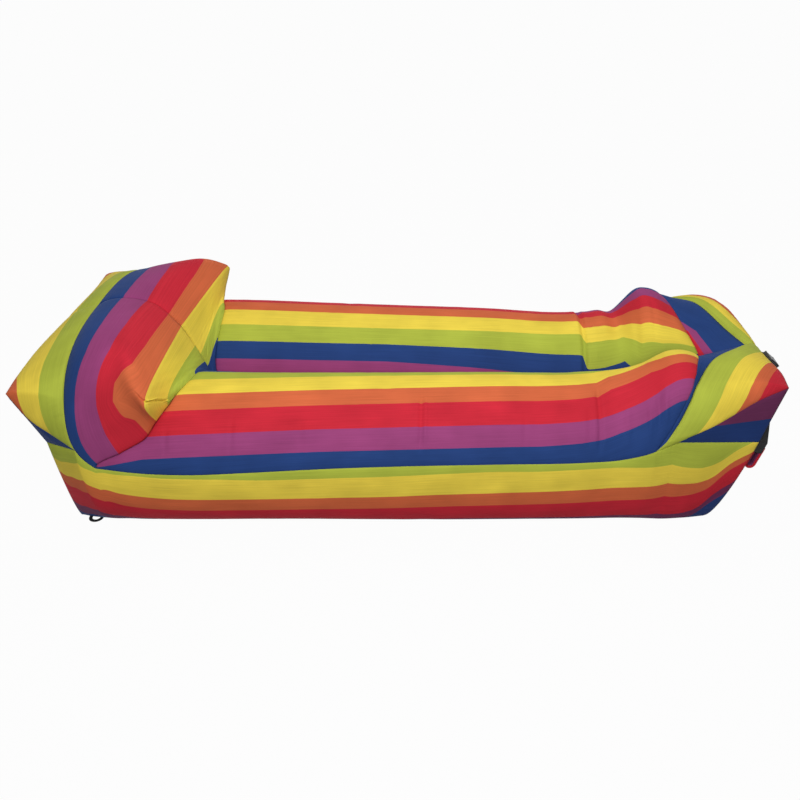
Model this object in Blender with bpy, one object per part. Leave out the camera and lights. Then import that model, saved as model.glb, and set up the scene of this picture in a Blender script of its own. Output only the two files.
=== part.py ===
# Inflatable air lounger: two air tubes side by side in a sewn striped cover, a pillow across the head end,
# folded gussets at both ends, and a rolled mouth closed by a side release buckle.
# Metres, +Z up. +X points to the foot end, the near side is -Y, and the ground is Z = 0.

import math

import bmesh
import bpy
import numpy as np
from mathutils import Vector

# Overall sizes
half_length = 1.0
half_width = 0.44
back_height = 0.50

# Air tubes
tube_spacing = 0.215
tube_girth = 0.20
crown_height = 0.39
channel_height = 0.19
underside_height = 0.09
ground_half_width = 0.32

# Fullness of the blown-up panels
lobe_swell = 0.035
head_end_swell = 0.03
flap_hollow = 0.012
side_swell = 0.012

# Cover and liners
cover_thickness = 0.0012
fit_gap = 0.0003
seam_gap = 0.0002
film_thickness = 0.0015
weld_distance = 0.00002

# Rolled mouth
roll_radius = 0.016
roll_depth = 0.088
roll_half_length = 0.285
roll_drop = 0.018
strip_thickness = 0.0035
strip_half_length = 0.270

# Closing straps
webbing_width = 0.025
webbing_thickness = 0.0016
strap_hem = 0.030
strap_tail = 0.022

# Buckle: its place beyond the ridge, along it and above it, how far its face leans, then the socket, clip and
# prongs along its own length
buckle_reach = 0.0182
buckle_side = -0.055
buckle_lift = 0.0018
buckle_lean = -50.0
buckle_width = 0.034
buckle_thickness = 0.012
buckle_wall = 0.002
buckle_edge = 0.0012
socket_back = -0.0225
socket_mouth = 0.004
clip_back = 0.0125
arm_length = 0.0085
bar_radius = 0.0018
bar_offset = 0.0060
slot_half_width = 0.0138
tongue_half_width = 0.003
tongue_tip = -0.0175
prong_half_width = 0.0015
prong_root_radius = 0.0022
prong_root_y = 0.0068
prong_tip = -0.0185
barb_front = -0.0075
barb_back = -0.0160
barb_reach = 0.0026
window_slack = 0.0012

# Stake loop
stake_loop_width = 0.042
stake_loop_reach = 0.030
stake_loop_band = 0.010
stake_loop_offset = 0.0033

# Tube sections along the length: place, spacing, girth, crown and channel heights, as shares of the half
# length, tube spacing, tube girth, crown height and channel height
tube_shares = (
    (-0.95, 1.149, 0.975, 0.950, 1.000),
    (-0.78, 1.149, 0.990, 0.987, 1.000),
    (-0.54, 1.140, 1.000, 1.000, 1.000),
    (-0.25, 1.065, 1.000, 1.000, 1.000),
    (0.00, 1.000, 1.000, 1.000, 1.000),
    (0.25, 0.935, 1.000, 1.000, 1.000),
    (0.50, 0.874, 0.965, 0.990, 1.050),
    (0.58, 0.872, 0.930, 1.005, 1.130),
    (0.66, 0.884, 0.890, 1.085, 1.320),
    (0.73, 0.907, 0.810, 1.210, 1.580),
    (0.80, 0.898, 0.775, 1.165, 1.760),
    (0.86, 0.860, 0.750, 1.030, 1.900),
)

# Nine stations round a tube, from the side seam over the crown down to the channel: the angle up from the
# tube's outer side in degrees, and where the tube meets the pillow and the foot, as shares of the half length
station_angles = (16.0, 20.0, 27.0, 38.5, 53.0, 67.0, 98.0, 145.0, 180.0)
head_crease_shares = (-0.785, -0.775, -0.722, -0.655, -0.628, -0.603, -0.572, -0.572, -0.550)
foot_crease_shares = (0.672, 0.685, 0.708, 0.733, 0.757, 0.772, 0.800, 0.845, 0.859)

# Pillow: the centre seam, the shoulder that each row bends over, and how hard it bends there. The shares are
# of the half length, the half width and the back height.
pillow_middle_shares = (
    (-0.878, 0.0, 1.016),
    (-0.840, 0.0, 1.050),
    (-0.785, 0.0, 1.060),
    (-0.710, 0.0, 1.020),
    (-0.645, 0.0, 0.888),
    (-0.612, 0.0, 0.750),
    (-0.595, 0.0, 0.670),
    (-0.577, 0.0, 0.570),
    (-0.550, 0.0, 0.380),
)
pillow_shoulder_shares = (
    (-0.865, 1.034, 1.060),
    (-0.830, 1.045, 1.120),
    (-0.785, 1.057, 1.150),
    (-0.705, 1.068, 1.170),
    (-0.615, 1.148, 0.970),
    (-0.600, 0.830, 0.860),
    (-0.588, 0.430, 0.790),
    (-0.575, 0.060, 0.600),
    (-0.550, 0.000, 0.380),
)
pillow_pull_shares = (1.2, 1.25, 1.3, 1.4, 3.0, 1.2, 1.0, 1.0, 1.0)
lip_station = 4
# How far the far shoulder lies from the mirrored near one, as shares of the half length
far_shoulder_shares = (
    (0.0, 0.0, 0.010),
    (0.0, 0.0, -0.030),
    (0.0, 0.0, -0.034),
    (0.010, 0.0, -0.022),
    (0.028, 0.0, -0.016),
    (0.010, 0.020, 0.0),
    (0.0, 0.0, 0.0),
    (0.0, 0.0, 0.0),
    (0.0, 0.0, 0.0),
)
back_seam_lean = 0.028
back_seam_lean_share = 0.12

# Steps across the pillow and the head end, from the side seam to the middle
head_steps = (0.0, 0.09, 0.20, 0.29, 0.38, 0.48, 0.58, 0.68, 0.79, 0.90, 1.0)
gusset_step = 1
head_ear_step = 4
head_edge_shares = (
    (-0.900, 0.920, 0.660),
    (-0.950, 0.895, 0.730),
    (-1.000, 0.870, 0.872),
    (-1.004, 0.716, 0.880),
    (-1.006, 0.568, 0.884),
    (-1.006, 0.420, 0.886),
    (-1.005, 0.273, 0.882),
    (-1.002, 0.136, 0.876),
    (-1.000, 0.000, 0.870),
)
far_ridge_share = 0.020
head_fold_shares = ((-0.938, 0.823, 0.548), (-0.942, 0.0, 0.540))
head_wall_pull_shares = ((-0.925, 0.761, 0.020), (-0.930, 0.0, 0.020))
head_ground_shares = ((-0.912, 0.750, 0.000), (-0.915, 0.0, 0.000))

# Foot seam at the nine stations, and the lobe's outer edge, up the gusset to the ear and along the ridge
near_foot_seam_shares = (
    (0.672, 0.823, 0.574),
    (0.698, 0.809, 0.602),
    (0.719, 0.786, 0.642),
    (0.745, 0.755, 0.710),
    (0.775, 0.695, 0.800),
    (0.802, 0.610, 0.870),
    (0.850, 0.415, 0.922),
    (0.935, 0.170, 0.870),
    (0.985, 0.000, 0.800),
)
far_foot_seam_shares = (
    (0.672, 0.823, 0.574),
    (0.700, 0.809, 0.602),
    (0.722, 0.789, 0.642),
    (0.750, 0.762, 0.700),
    (0.790, 0.710, 0.770),
    (0.825, 0.640, 0.820),
    (0.888, 0.480, 0.870),
    (0.955, 0.190, 0.810),
    (0.985, 0.000, 0.800),
)
near_foot_edge_shares = (
    (0.725, 0.784, 0.590),
    (0.765, 0.777, 0.632),
    (0.810, 0.766, 0.676),
    (0.860, 0.743, 0.736),
    (0.925, 0.705, 0.810),
    (1.000, 0.659, 0.864),
    (1.010, 0.455, 0.856),
    (1.018, 0.182, 0.798),
    (1.020, 0.000, 0.774),
)
far_foot_edge_shares = (
    (0.725, 0.784, 0.590),
    (0.765, 0.777, 0.628),
    (0.808, 0.766, 0.666),
    (0.855, 0.743, 0.710),
    (0.915, 0.705, 0.762),
    (0.985, 0.659, 0.808),
    (1.000, 0.455, 0.812),
    (1.015, 0.182, 0.790),
    (1.020, 0.000, 0.774),
)
foot_ear_station = 5
foot_gusset_run_shares = (0.0, 0.17, 0.36, 0.57, 0.80, 1.0)
foot_fold_shares = ((0.955, 0.682, 0.540), (0.957, 0.0, 0.530))
foot_wall_pull_shares = ((0.890, 0.670, 0.020), (0.888, 0.0, 0.020))
foot_ground_shares = ((0.863, 0.625, 0.000), (0.850, 0.0, 0.000))

# How far the lobes swell at each station, along X, outwards and up, as shares of the lobe swell
lobe_swell_shares = (
    (0.0, 0.0, 0.0),
    (0.0, 0.1, 0.05),
    (0.0, 0.2, 0.15),
    (0.0, 0.35, 0.4),
    (0.0, 0.4, 0.7),
    (0.1, 0.4, 0.9),
    (0.1, 0.2, 1.0),
    (0.1, 0.05, 0.9),
    (0.1, 0.0, 0.7),
)
head_swell_shares = (0.0, 0.3, 0.6, 0.9, 1.0, 1.0, 1.0, 1.0, 1.0, 1.0)
head_swell_way_shares = (-0.6, 0.0, 0.8)

# Side panel feet: the top's place along X, the bend's place along X, its way out from the top and its height,
# and the ground's place along X and distance from the middle. The shares are of the half length, side swell,
# back height and ground half width.
side_foot_shares = (
    (-0.938, -0.922, -1.800, 0.020, -0.910, 1.025),
    (-0.900, -0.885, -0.600, 0.010, -0.875, 1.020),
    (-0.785, -0.785, 1.000, 0.000, -0.775, 0.920),
    (-0.540, -0.540, 1.000, 0.000, -0.540, 0.870),
    (0.000, 0.000, 1.000, 0.000, 0.000, 0.885),
    (0.500, 0.500, 1.000, 0.000, 0.500, 0.855),
    (0.670, 0.668, 1.000, 0.000, 0.660, 0.850),
    (0.725, 0.720, 0.900, 0.000, 0.710, 0.875),
    (0.850, 0.817, 0.300, 0.010, 0.795, 0.884),
    (0.955, 0.896, -0.450, 0.020, 0.863, 0.859),
)
wall_pull = 0.8

# Place of the stake loop along the length, as a share of the half length
stake_loop_share = -0.865

# Opening of each liner in the foot wall: its reach outwards and upwards, as shares of the half width and the back
# height
mouth_out_shares = (0.12, 0.42)
mouth_up_shares = (0.24, 0.47)

# How far the side seam drops below the first station: place along the length and angle in degrees
seam_drop_shares = (
    (-0.785, 0.0),
    (-0.690, 3.5),
    (-0.560, 5.0),
    (-0.400, 3.8),
    (-0.150, 1.2),
    (0.000, 0.4),
    (0.300, 0.0),
)

# How much higher the far tube's crown rises before the foot, along the length, as shares of the crown height
far_rise_shares = (
    (0.560, 0.0),
    (0.600, 0.0),
    (0.655, -0.070),
    (0.685, -0.005),
    (0.705, 0.030),
    (0.735, 0.015),
    (0.780, -0.010),
)
flat_share = 0.45

# How finely the panels are cut
tube_rows = (0, 1, 2, 3, 4, 4.5, 5, 5.5, 6, 6.5, 7, 7.5, 8)
tube_columns = 16
side_rows = 5
head_rows = 4
lobe_rows = 3
band_rows = 1
gusset_rows = 2

NEAR = -1
FAR = 1


# Removes every object that the scene holds.
def clear_scene():
    for thing in list(bpy.data.objects):
        bpy.data.objects.remove(thing, do_unlink=True)


# Places a point given by its shares of the half length, half width and back height.
def place(shares):
    return np.array(shares, float) * (half_length, half_width, back_height)


# Reads a smooth run through the values at the given places, with a sharp bend at each corner.
def smooth(places, values, at, corners=()):
    places = np.asarray(places, float)
    values = np.asarray(values, float)
    last = len(places) - 1
    at = min(max(at, places[0]), places[-1])
    k = min(int(np.searchsorted(places, at, side="right")) - 1, last - 1)
    steps = np.diff(places)
    rates = (np.diff(values, axis=0).T / steps).T

    def slope(i, forward):
        if i == 0 or (i in corners and forward):
            return rates[i]
        if i == last or i in corners:
            return rates[i - 1]
        return (rates[i - 1] * steps[i] + rates[i] * steps[i - 1]) / (steps[i - 1] + steps[i])

    h = steps[k]
    f = (at - places[k]) / h
    start = values[k] * (1 + 2 * f) * (1 - f) ** 2 + slope(k, True) * h * f * (1 - f) ** 2
    end = values[k + 1] * f * f * (3 - 2 * f) + slope(k + 1, False) * h * f * f * (f - 1)
    return start + end


# Arc from one point to another that bends towards a third, the harder the greater the pull.
def bow(start, bend, end, pull, t):
    first = (1 - t) ** 2
    middle = 2 * pull * t * (1 - t)
    final = t * t
    return (first * start + middle * bend + final * end) / (first + middle + final)


# Spacing, girth, crown height and channel height of the tubes at one place along X.
def tube_sizes(x):
    table = np.array(tube_shares)
    shares = smooth(table[:, 0], table[:, 1:], x / half_length)
    return shares * (tube_spacing, tube_girth, crown_height, channel_height)


# Reads a table of places along the length, holding its end values beyond them.
def along(table, x):
    places, values = np.array(table).T
    return smooth(places, values, x / half_length)


# Point on a tube's skin, with Y counted outwards from the middle.
def tube_point(side, x, angle):
    spacing, girth, crown, channel = tube_sizes(x)
    turn = math.radians(angle)
    if side == FAR:
        crown += along(far_rise_shares, x) * crown_height * math.sin(turn) ** 2
    if angle <= 90:
        centre = crown / 2
        return np.array((x, spacing + girth * math.cos(turn), centre + (crown - centre) * math.sin(turn)))
    return np.array((x, spacing * (1 + math.cos(turn)), channel + (crown - channel) * math.sin(turn)))


stations = tuple(range(len(station_angles)))


def station_angle(q):
    return float(np.interp(q, stations, station_angles))


def head_crease(side, q):
    return tube_point(side, smooth(stations, head_crease_shares, q) * half_length, station_angle(q))


def foot_crease(side, q):
    return tube_point(side, smooth(stations, foot_crease_shares, q) * half_length, station_angle(q))


def foot_seam(side, q):
    shares = near_foot_seam_shares if side == NEAR else far_foot_seam_shares
    points = [place(s) for s in shares]
    points[0] = foot_crease(side, 0)
    return smooth(stations, points, q)


def foot_edge(side, q):
    shares = near_foot_edge_shares if side == NEAR else far_foot_edge_shares
    return smooth(stations, [place(s) for s in shares], q, corners=(foot_ear_station,))


# Point on the pillow: row q runs from the crease over the shoulder to the centre seam.
def pillow_point(side, q, t):
    corners = (lip_station,)
    middle = smooth(stations, [place(s) for s in pillow_middle_shares], q, corners)
    shoulder = smooth(stations, [place(s) for s in pillow_shoulder_shares], q, corners)
    pull = smooth(stations, pillow_pull_shares, q, corners)
    if side == FAR:
        shoulder = shoulder + smooth(stations, far_shoulder_shares, q, corners) * half_length
    point = bow(head_crease(side, q), shoulder, middle, pull, t)
    near_seam = max(0.0, 1 - q / 2)
    run = t / back_seam_lean_share
    point[0] -= back_seam_lean * near_seam * run * math.exp(1 - run)
    return point


# Outer edge of the head end: up the gusset to the ear, then along the ridge to the middle. The far half of the
# ridge bends further in.
def head_edge(side, k):
    if k <= gusset_step:
        return pillow_point(side, 0, head_steps[gusset_step])
    point = place(head_edge_shares[k - gusset_step - 1])
    if side == FAR and k > head_ear_step:
        run = (k - head_ear_step) / (len(head_steps) - 1 - head_ear_step)
        point[0] += far_ridge_share * half_length * math.sin(math.pi * run)
    return point


# Lower edge of a gusset, straight from its tip to the fold.
def head_gusset_foot(side, k):
    run = (k - gusset_step) / (head_ear_step - gusset_step)
    return head_edge(side, gusset_step) * (1 - run) + place(head_fold_shares[0]) * run


def foot_gusset_foot(side, q):
    run = float(np.interp(q, stations[: foot_ear_station + 1], foot_gusset_run_shares))
    return foot_edge(side, 0) * (1 - run) + place(foot_fold_shares[0]) * run


# Line across an end, from the near or far corner to the middle.
def across(shares, run):
    return place(shares[0]) * (1 - run) + place(shares[1]) * run


# Column of the side panel from its top edge down to the ground.
def side_column(top):
    table = np.array(side_foot_shares)
    foot = smooth(table[:, 0], table[:, 1:], top[0] / half_length)
    bend = np.array((foot[0] * half_length, top[1] + foot[1] * side_swell, foot[2] * back_height))
    ground = np.array((foot[3] * half_length, foot[4] * ground_half_width, 0.0))
    return [bow(top, bend, ground, wall_pull, k / side_rows) for k in range(side_rows + 1)]


# Every panel of one half of the cover, as grids of points with Y counted outwards.
def half_grids(side):
    grids = []
    columns = [k / tube_columns for k in range(tube_columns + 1)]
    tube = []
    for q in tube_rows:
        ends = smooth(stations, head_crease_shares, q), smooth(stations, foot_crease_shares, q)
        places = [(ends[0] * (1 - c) + ends[1] * c) * half_length for c in columns]
        drops = [along(seam_drop_shares, x) if q == 0 else 0.0 for x in places]
        tube.append([tube_point(side, x, station_angle(q) - drop) for x, drop in zip(places, drops)])
    grids.append(("tube_panel", tube))
    grids.append(("pillow_panel", [[pillow_point(side, q, t) for t in head_steps] for q in tube_rows]))

    head_end = []
    for k in range(gusset_step, len(head_steps)):
        start = pillow_point(side, 0, head_steps[k])
        end = head_edge(side, k)
        swell = head_swell_shares[k - gusset_step] * head_end_swell * np.array(head_swell_way_shares)
        bend = (start + end) / 2 + swell
        head_end.append([bow(start, bend, end, 1.0, r / head_rows) for r in range(head_rows + 1)])
    grids.append(("head_end_panel", head_end))

    gusset_run = range(gusset_step, head_ear_step + 1)
    sheet = [straight(head_edge(side, k), head_gusset_foot(side, k), gusset_rows) for k in gusset_run]
    grids.append(("head_gusset", sheet))
    head_run = [(head_steps[k] - head_steps[head_ear_step]) / (1 - head_steps[head_ear_step])
                for k in range(head_ear_step, len(head_steps))]
    edge = [head_edge(side, k) for k in range(head_ear_step, len(head_steps))]
    grids.append(("head_under_panel", end_flap(edge, head_fold_shares, head_run, flap_hollow)))
    wall = end_wall(head_fold_shares, head_wall_pull_shares, head_ground_shares, head_run)
    head_column = side_column(head_gusset_foot(side, head_ear_step))
    wall[0] = head_column
    grids.append(("head_under_panel", wall))

    band = [straight(foot_crease(side, q), foot_seam(side, q), band_rows) for q in tube_rows]
    grids.append(("foot_band", band))
    lobe = []
    for q in tube_rows:
        start = foot_seam(side, q)
        end = foot_edge(side, q)
        bend = (start + end) / 2 + smooth(stations, lobe_swell_shares, q) * lobe_swell
        lobe.append([bow(start, bend, end, 1.0, r / lobe_rows) for r in range(lobe_rows + 1)])
    grids.append(("foot_lobe", lobe))

    ear_rows = [q for q in tube_rows if q <= foot_ear_station]
    ridge_rows = [q for q in tube_rows if q >= foot_ear_station]
    feet = [straight(foot_edge(side, q), foot_gusset_foot(side, q), gusset_rows) for q in ear_rows]
    grids.append(("foot_gusset", feet))
    span = stations[-1] - foot_ear_station
    foot_run = [(q - foot_ear_station) / span for q in ridge_rows]
    edge = [foot_edge(side, q) for q in ridge_rows]
    grids.append(("foot_under_panel", end_flap(edge, foot_fold_shares, foot_run, -flap_hollow)))
    wall = end_wall(foot_fold_shares, foot_wall_pull_shares, foot_ground_shares, foot_run)
    foot_column = side_column(foot_gusset_foot(side, foot_ear_station))
    wall[0] = foot_column
    grids.append(("foot_under_panel", wall))

    tops = [head_gusset_foot(side, k) for k in range(head_ear_step, gusset_step, -1)]
    tops += [pillow_point(side, 0, head_steps[k]) for k in range(gusset_step, 0, -1)]
    tops += tube[0]
    tops += [p for p in lobe[0][1:]]
    tops += [foot_gusset_foot(side, q) for q in ear_rows[1:]]
    skirt = [side_column(top) for top in tops]
    skirt[0] = head_column
    skirt[-1] = foot_column
    grids.append(("side_panel", skirt))
    grids.append(("base_panel", base_grid(skirt, head_run, foot_run)))
    return grids


def straight(start, end, rows):
    return [start + (end - start) * r / rows for r in range(rows + 1)]


# Sheet under a ridge, hollowed towards the middle, down to the fold.
def end_flap(edge, fold_shares, runs, hollow):
    sheet = []
    for top, run in zip(edge, runs):
        foot = across(fold_shares, run)
        bend = (top + foot) / 2
        bend[0] += hollow * math.sin(math.pi * min(run, 0.5))
        sheet.append([bow(top, bend, foot, 1.0, r / gusset_rows) for r in range(gusset_rows + 1)])
    return sheet


# Upright end of the lounger, from the fold down to the ground.
def end_wall(fold_shares, pull_shares, ground_shares, runs):
    sheet = []
    for run in runs:
        top = across(fold_shares, run)
        bend = across(pull_shares, run)
        foot = across(ground_shares, run)
        sheet.append([bow(top, bend, foot, wall_pull, k / side_rows) for k in range(side_rows + 1)])
    return sheet


# Base: flat where the tubes stand, raised between them, and level along both end walls.
def base_grid(skirt, head_run, foot_run):
    grid = []
    head_x = head_ground_shares[0][0] * half_length
    foot_x = foot_ground_shares[0][0] * half_length
    for column, steps in enumerate(skirt):
        corner = steps[-1]
        if column == 0:
            grid.append([across(head_ground_shares, run) for run in head_run])
            grid[0][0] = corner
            continue
        if column == len(skirt) - 1:
            grid.append([across(foot_ground_shares, run) for run in foot_run])
            grid[-1][0] = corner
            continue
        reach = head_x if corner[0] < 0 else foot_x
        arch = underside_height * (1 - (corner[0] / reach) ** 4)
        ends = head_ground_shares if corner[0] < 0 else foot_ground_shares
        spread = ends[1][0] / ends[0][0] - 1
        row = []
        for head_share, foot_share in zip(head_run, foot_run):
            blend = (corner[0] - head_x) / (foot_x - head_x)
            out = 1 - (head_share * (1 - blend) + foot_share * blend)
            lift = arch * max(0.0, 1 - (out / flat_share) ** 2)
            row.append(np.array((corner[0] * (1 + spread * (1 - out)), corner[1] * out, lift)))
        grid.append(row)
    return grid


whole_panels = ("head_end_panel", "head_under_panel", "foot_under_panel", "base_panel")


# Full name of a panel: those that lie on one side only carry that side's name.
def panel_name(kind, side):
    if kind in whole_panels:
        return kind
    return ("near_" if side == NEAR else "far_") + kind


# Skin of the lounger as one closed mesh of triangles, each marked with its panel and its side.
def build_skin():
    skin = bmesh.new()
    panel_mark = skin.faces.layers.int.new("panel")
    side_mark = skin.faces.layers.int.new("side")
    names = []
    for side in (NEAR, FAR):
        for kind, grid in half_grids(side):
            name = panel_name(kind, side)
            if name not in names:
                names.append(name)
            points = [[skin.verts.new((p[0], p[1] * side, p[2])) for p in row] for row in grid]
            for above, below in zip(points, points[1:]):
                for a, b, c, d in zip(above, above[1:], below[1:], below):
                    face = skin.faces.new((a, b, c, d))
                    face[panel_mark] = names.index(name)
                    face[side_mark] = side
    bmesh.ops.remove_doubles(skin, verts=skin.verts, dist=weld_distance)
    bmesh.ops.dissolve_degenerate(skin, edges=skin.edges, dist=weld_distance)
    bmesh.ops.triangulate(skin, faces=skin.faces)
    bmesh.ops.recalc_face_normals(skin, faces=skin.faces)
    skin.normal_update()
    skin.verts.index_update()
    return skin, names


# Point under a vertex of a shell: the given depth below the faces round it, less where those are tiny, and a
# further gap below that.
def sunk(vertex, depth, gap=0.0):
    factor = min(vertex.calc_shell_factor(), 2.5)
    room = min(edge.calc_length() for edge in vertex.link_edges) / 3
    return vertex.co - vertex.normal * (min(depth * factor, room) + gap * factor)


# One panel: its faces, a lining face under each, and walls along its seams, drawn in a little from them.
def panel_mesh(skin, faces):
    members = set(faces)
    seams = []
    inward = {}
    lengthwise = {}
    for face in faces:
        for loop in face.loops:
            if all(f in members for f in loop.edge.link_faces):
                continue
            start = loop.vert
            end = loop.link_loop_next.vert
            seams.append((start, end))
            run = (end.co - start.co).normalized()
            way = face.normal.cross(run)
            for vertex, ahead in ((start, run), (end, -run)):
                inward.setdefault(vertex, []).append(way)
                lengthwise[vertex] = lengthwise.get(vertex, Vector()) + ahead
    mesh = bmesh.new()
    outer = {}
    inner = {}
    for face in faces:
        for vertex in face.verts:
            if vertex in outer:
                continue
            drawn = Vector()
            if vertex in inward:
                way = sum(inward[vertex], Vector())
                corner = lengthwise[vertex]
                if corner.length > way.length and corner.dot(way) > 0:
                    way = corner
                way.normalize()
                drawn = way * seam_gap / max(0.25, min(way.dot(w) for w in inward[vertex]))
            outer[vertex] = mesh.verts.new(vertex.co + drawn)
            inner[vertex] = mesh.verts.new(sunk(vertex, cover_thickness) + drawn)
    for face in faces:
        mesh.faces.new([outer[v] for v in face.verts])
        mesh.faces.new([inner[v] for v in reversed(face.verts)])
    for a, b in seams:
        if a.index < b.index:
            mesh.faces.new((outer[b], outer[a], inner[b]))
            mesh.faces.new((outer[a], inner[a], inner[b]))
        else:
            mesh.faces.new((outer[b], outer[a], inner[a]))
            mesh.faces.new((outer[b], inner[a], inner[b]))
    return mesh


# One air liner: the skin of its half, sunk under the cover and closed by a flat wall beside the middle. The film
# is a shell under that, with its mouth left open in the foot wall.
def liner_mesh(skin, mouth_panel, side):
    side_mark = skin.faces.layers.int["side"]
    panel_mark = skin.faces.layers.int["panel"]
    mesh = bmesh.new()
    mouth = mesh.faces.layers.int.new("mouth")
    copies = {}
    for face in skin.faces:
        if face[side_mark] != side:
            continue
        for vertex in face.verts:
            if vertex not in copies:
                point = sunk(vertex, cover_thickness, fit_gap)
                if abs(vertex.co.y) < weld_distance:
                    point.y = side * fit_gap / 2
                copies[vertex] = mesh.verts.new(point)
        copy = mesh.faces.new([copies[v] for v in face.verts])
        middle = face.calc_center_median()
        copy[mouth] = face[panel_mark] == mouth_panel and mouth_holds(middle)
    open_edges = [e for e in mesh.edges if len(e.link_faces) == 1]
    wall = bmesh.ops.contextual_create(mesh, geom=open_edges)["faces"]
    bmesh.ops.triangulate(mesh, faces=wall)
    bmesh.ops.recalc_face_normals(mesh, faces=mesh.faces)
    mesh.normal_update()
    shell = bmesh.new()
    outer = {v: shell.verts.new(v.co) for v in mesh.verts}
    inner = {v: shell.verts.new(sunk(v, film_thickness)) for v in mesh.verts}
    for face in mesh.faces:
        if face[mouth]:
            continue
        shell.faces.new([outer[v] for v in face.verts])
        shell.faces.new([inner[v] for v in reversed(face.verts)])
        for loop in face.loops:
            start = loop.vert
            end = loop.link_loop_next.vert
            if any(f[mouth] for f in loop.edge.link_faces):
                shell.faces.new((outer[end], outer[start], inner[start]))
                shell.faces.new((outer[end], inner[start], inner[end]))
    mesh.free()
    loose = [v for v in shell.verts if not v.link_faces]
    bmesh.ops.delete(shell, geom=loose, context="VERTS")
    return shell


# Tells whether a point of the foot wall lies in the liner's mouth.
def mouth_holds(point):
    out = abs(point.y) / half_width
    up = point.z / back_height
    return mouth_out_shares[0] < out < mouth_out_shares[1] and mouth_up_shares[0] < up < mouth_up_shares[1]


# Material of one colour, roughness and metal value.
def finish(name, colour, roughness, metal=0.0):
    material = bpy.data.materials.new(name)
    material.use_nodes = True
    shader = material.node_tree.nodes["Principled BSDF"]
    shader.inputs["Base Color"].default_value = (*colour, 1.0)
    shader.inputs["Roughness"].default_value = roughness
    shader.inputs["Metallic"].default_value = metal
    return material


def keep(name, mesh, material, rounded=True):
    data = bpy.data.meshes.new(name)
    mesh.to_mesh(data)
    mesh.free()
    thing = bpy.data.objects.new(name, data)
    bpy.context.scene.collection.objects.link(thing)
    data.materials.append(material)
    if rounded:
        data.shade_smooth()
        data.set_sharp_from_angle(angle=math.radians(35))
    return thing


yellow = (0.82, 0.64, 0.10)
orange = (0.66, 0.20, 0.08)
red = (0.60, 0.04, 0.06)
purple = (0.30, 0.07, 0.20)
blue = (0.03, 0.06, 0.20)
green = (0.46, 0.56, 0.09)
black = (0.015, 0.015, 0.018)
film = (0.80, 0.82, 0.84)

panel_colours = {
    "near_tube_panel": red,
    "far_tube_panel": yellow,
    "near_pillow_panel": red,
    "far_pillow_panel": orange,
    "head_end_panel": green,
    "near_head_gusset": blue,
    "far_head_gusset": blue,
    "head_under_panel": purple,
    "near_foot_band": blue,
    "far_foot_band": blue,
    "near_foot_lobe": green,
    "far_foot_lobe": green,
    "near_foot_gusset": purple,
    "far_foot_gusset": purple,
    "foot_under_panel": red,
    "near_side_panel": yellow,
    "far_side_panel": yellow,
    "base_panel": red,
}


def build_cover():
    skin, names = build_skin()
    panel_mark = skin.faces.layers.int["panel"]
    for number, name in enumerate(names):
        faces = [f for f in skin.faces if f[panel_mark] == number]
        keep(name, panel_mesh(skin, faces), finish(name, panel_colours[name], 0.6))
    foot_wall = names.index("foot_under_panel")
    keep("near_liner", liner_mesh(skin, foot_wall, NEAR), finish("near_liner", film, 0.3))
    keep("far_liner", liner_mesh(skin, foot_wall, FAR), finish("far_liner", film, 0.3))
    skin.free()


# Solid that keeps one outline across the given axis and runs along it between two places.
def prism(outline, start, end, axis):
    mesh = bmesh.new()
    rings = []
    for level in (start, end):
        ring = []
        for first, second in outline:
            point = [first, second]
            point.insert(axis, level)
            ring.append(mesh.verts.new(point))
        rings.append(ring)
    mesh.faces.new(rings[0])
    mesh.faces.new(rings[1])
    for k in range(len(outline)):
        n = (k + 1) % len(outline)
        mesh.faces.new((rings[0][k], rings[0][n], rings[1][n], rings[1][k]))
    bmesh.ops.recalc_face_normals(mesh, faces=mesh.faces)
    return mesh


# Points on an arc, from one angle to another in degrees.
def arc(middle, radius, start, end, steps):
    angles = [math.radians(start + (end - start) * k / steps) for k in range(steps + 1)]
    return [(middle[0] + radius * math.cos(a), middle[1] + radius * math.sin(a)) for a in angles]


def block(low, high, edge=0.0):
    mesh = bmesh.new()
    bmesh.ops.create_cube(mesh, size=1.0)
    bmesh.ops.scale(mesh, vec=Vector(high) - Vector(low), verts=mesh.verts)
    bmesh.ops.translate(mesh, vec=(Vector(high) + Vector(low)) / 2, verts=mesh.verts)
    if edge:
        bmesh.ops.bevel(mesh, geom=mesh.edges, offset=edge, segments=2, profile=0.5, affect="EDGES")
    return mesh


# Cuts or joins one object with a helper that stays out of the model.
def combine(thing, mesh, operation):
    helper = keep(thing.name + "_helper", mesh, thing.data.materials[0], rounded=False)
    helper.hide_render = True
    helper.display_type = "WIRE"
    change = thing.modifiers.new(operation.title(), "BOOLEAN")
    change.operation = operation
    change.solver = "EXACT"
    change.object = helper
    return helper


# Flat strip swept along a path, its width held along the way given at each point.
def ribbon(path, ways, width, thickness):
    mesh = bmesh.new()
    rings = []
    for k, point in enumerate(path):
        run = (path[min(k + 1, len(path) - 1)] - path[max(k - 1, 0)]).normalized()
        side = (ways[k] - run * ways[k].dot(run)).normalized() * width / 2
        out = run.cross(side).normalized() * thickness / 2
        corners = (point + side + out, point - side + out, point - side - out, point + side - out)
        rings.append([mesh.verts.new(c) for c in corners])
    for before, after in zip(rings, rings[1:]):
        for k in range(4):
            n = (k + 1) % 4
            mesh.faces.new((before[k], before[n], after[n], after[k]))
    mesh.faces.new(rings[0])
    mesh.faces.new(rings[-1])
    bmesh.ops.recalc_face_normals(mesh, faces=mesh.faces)
    return mesh


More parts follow.
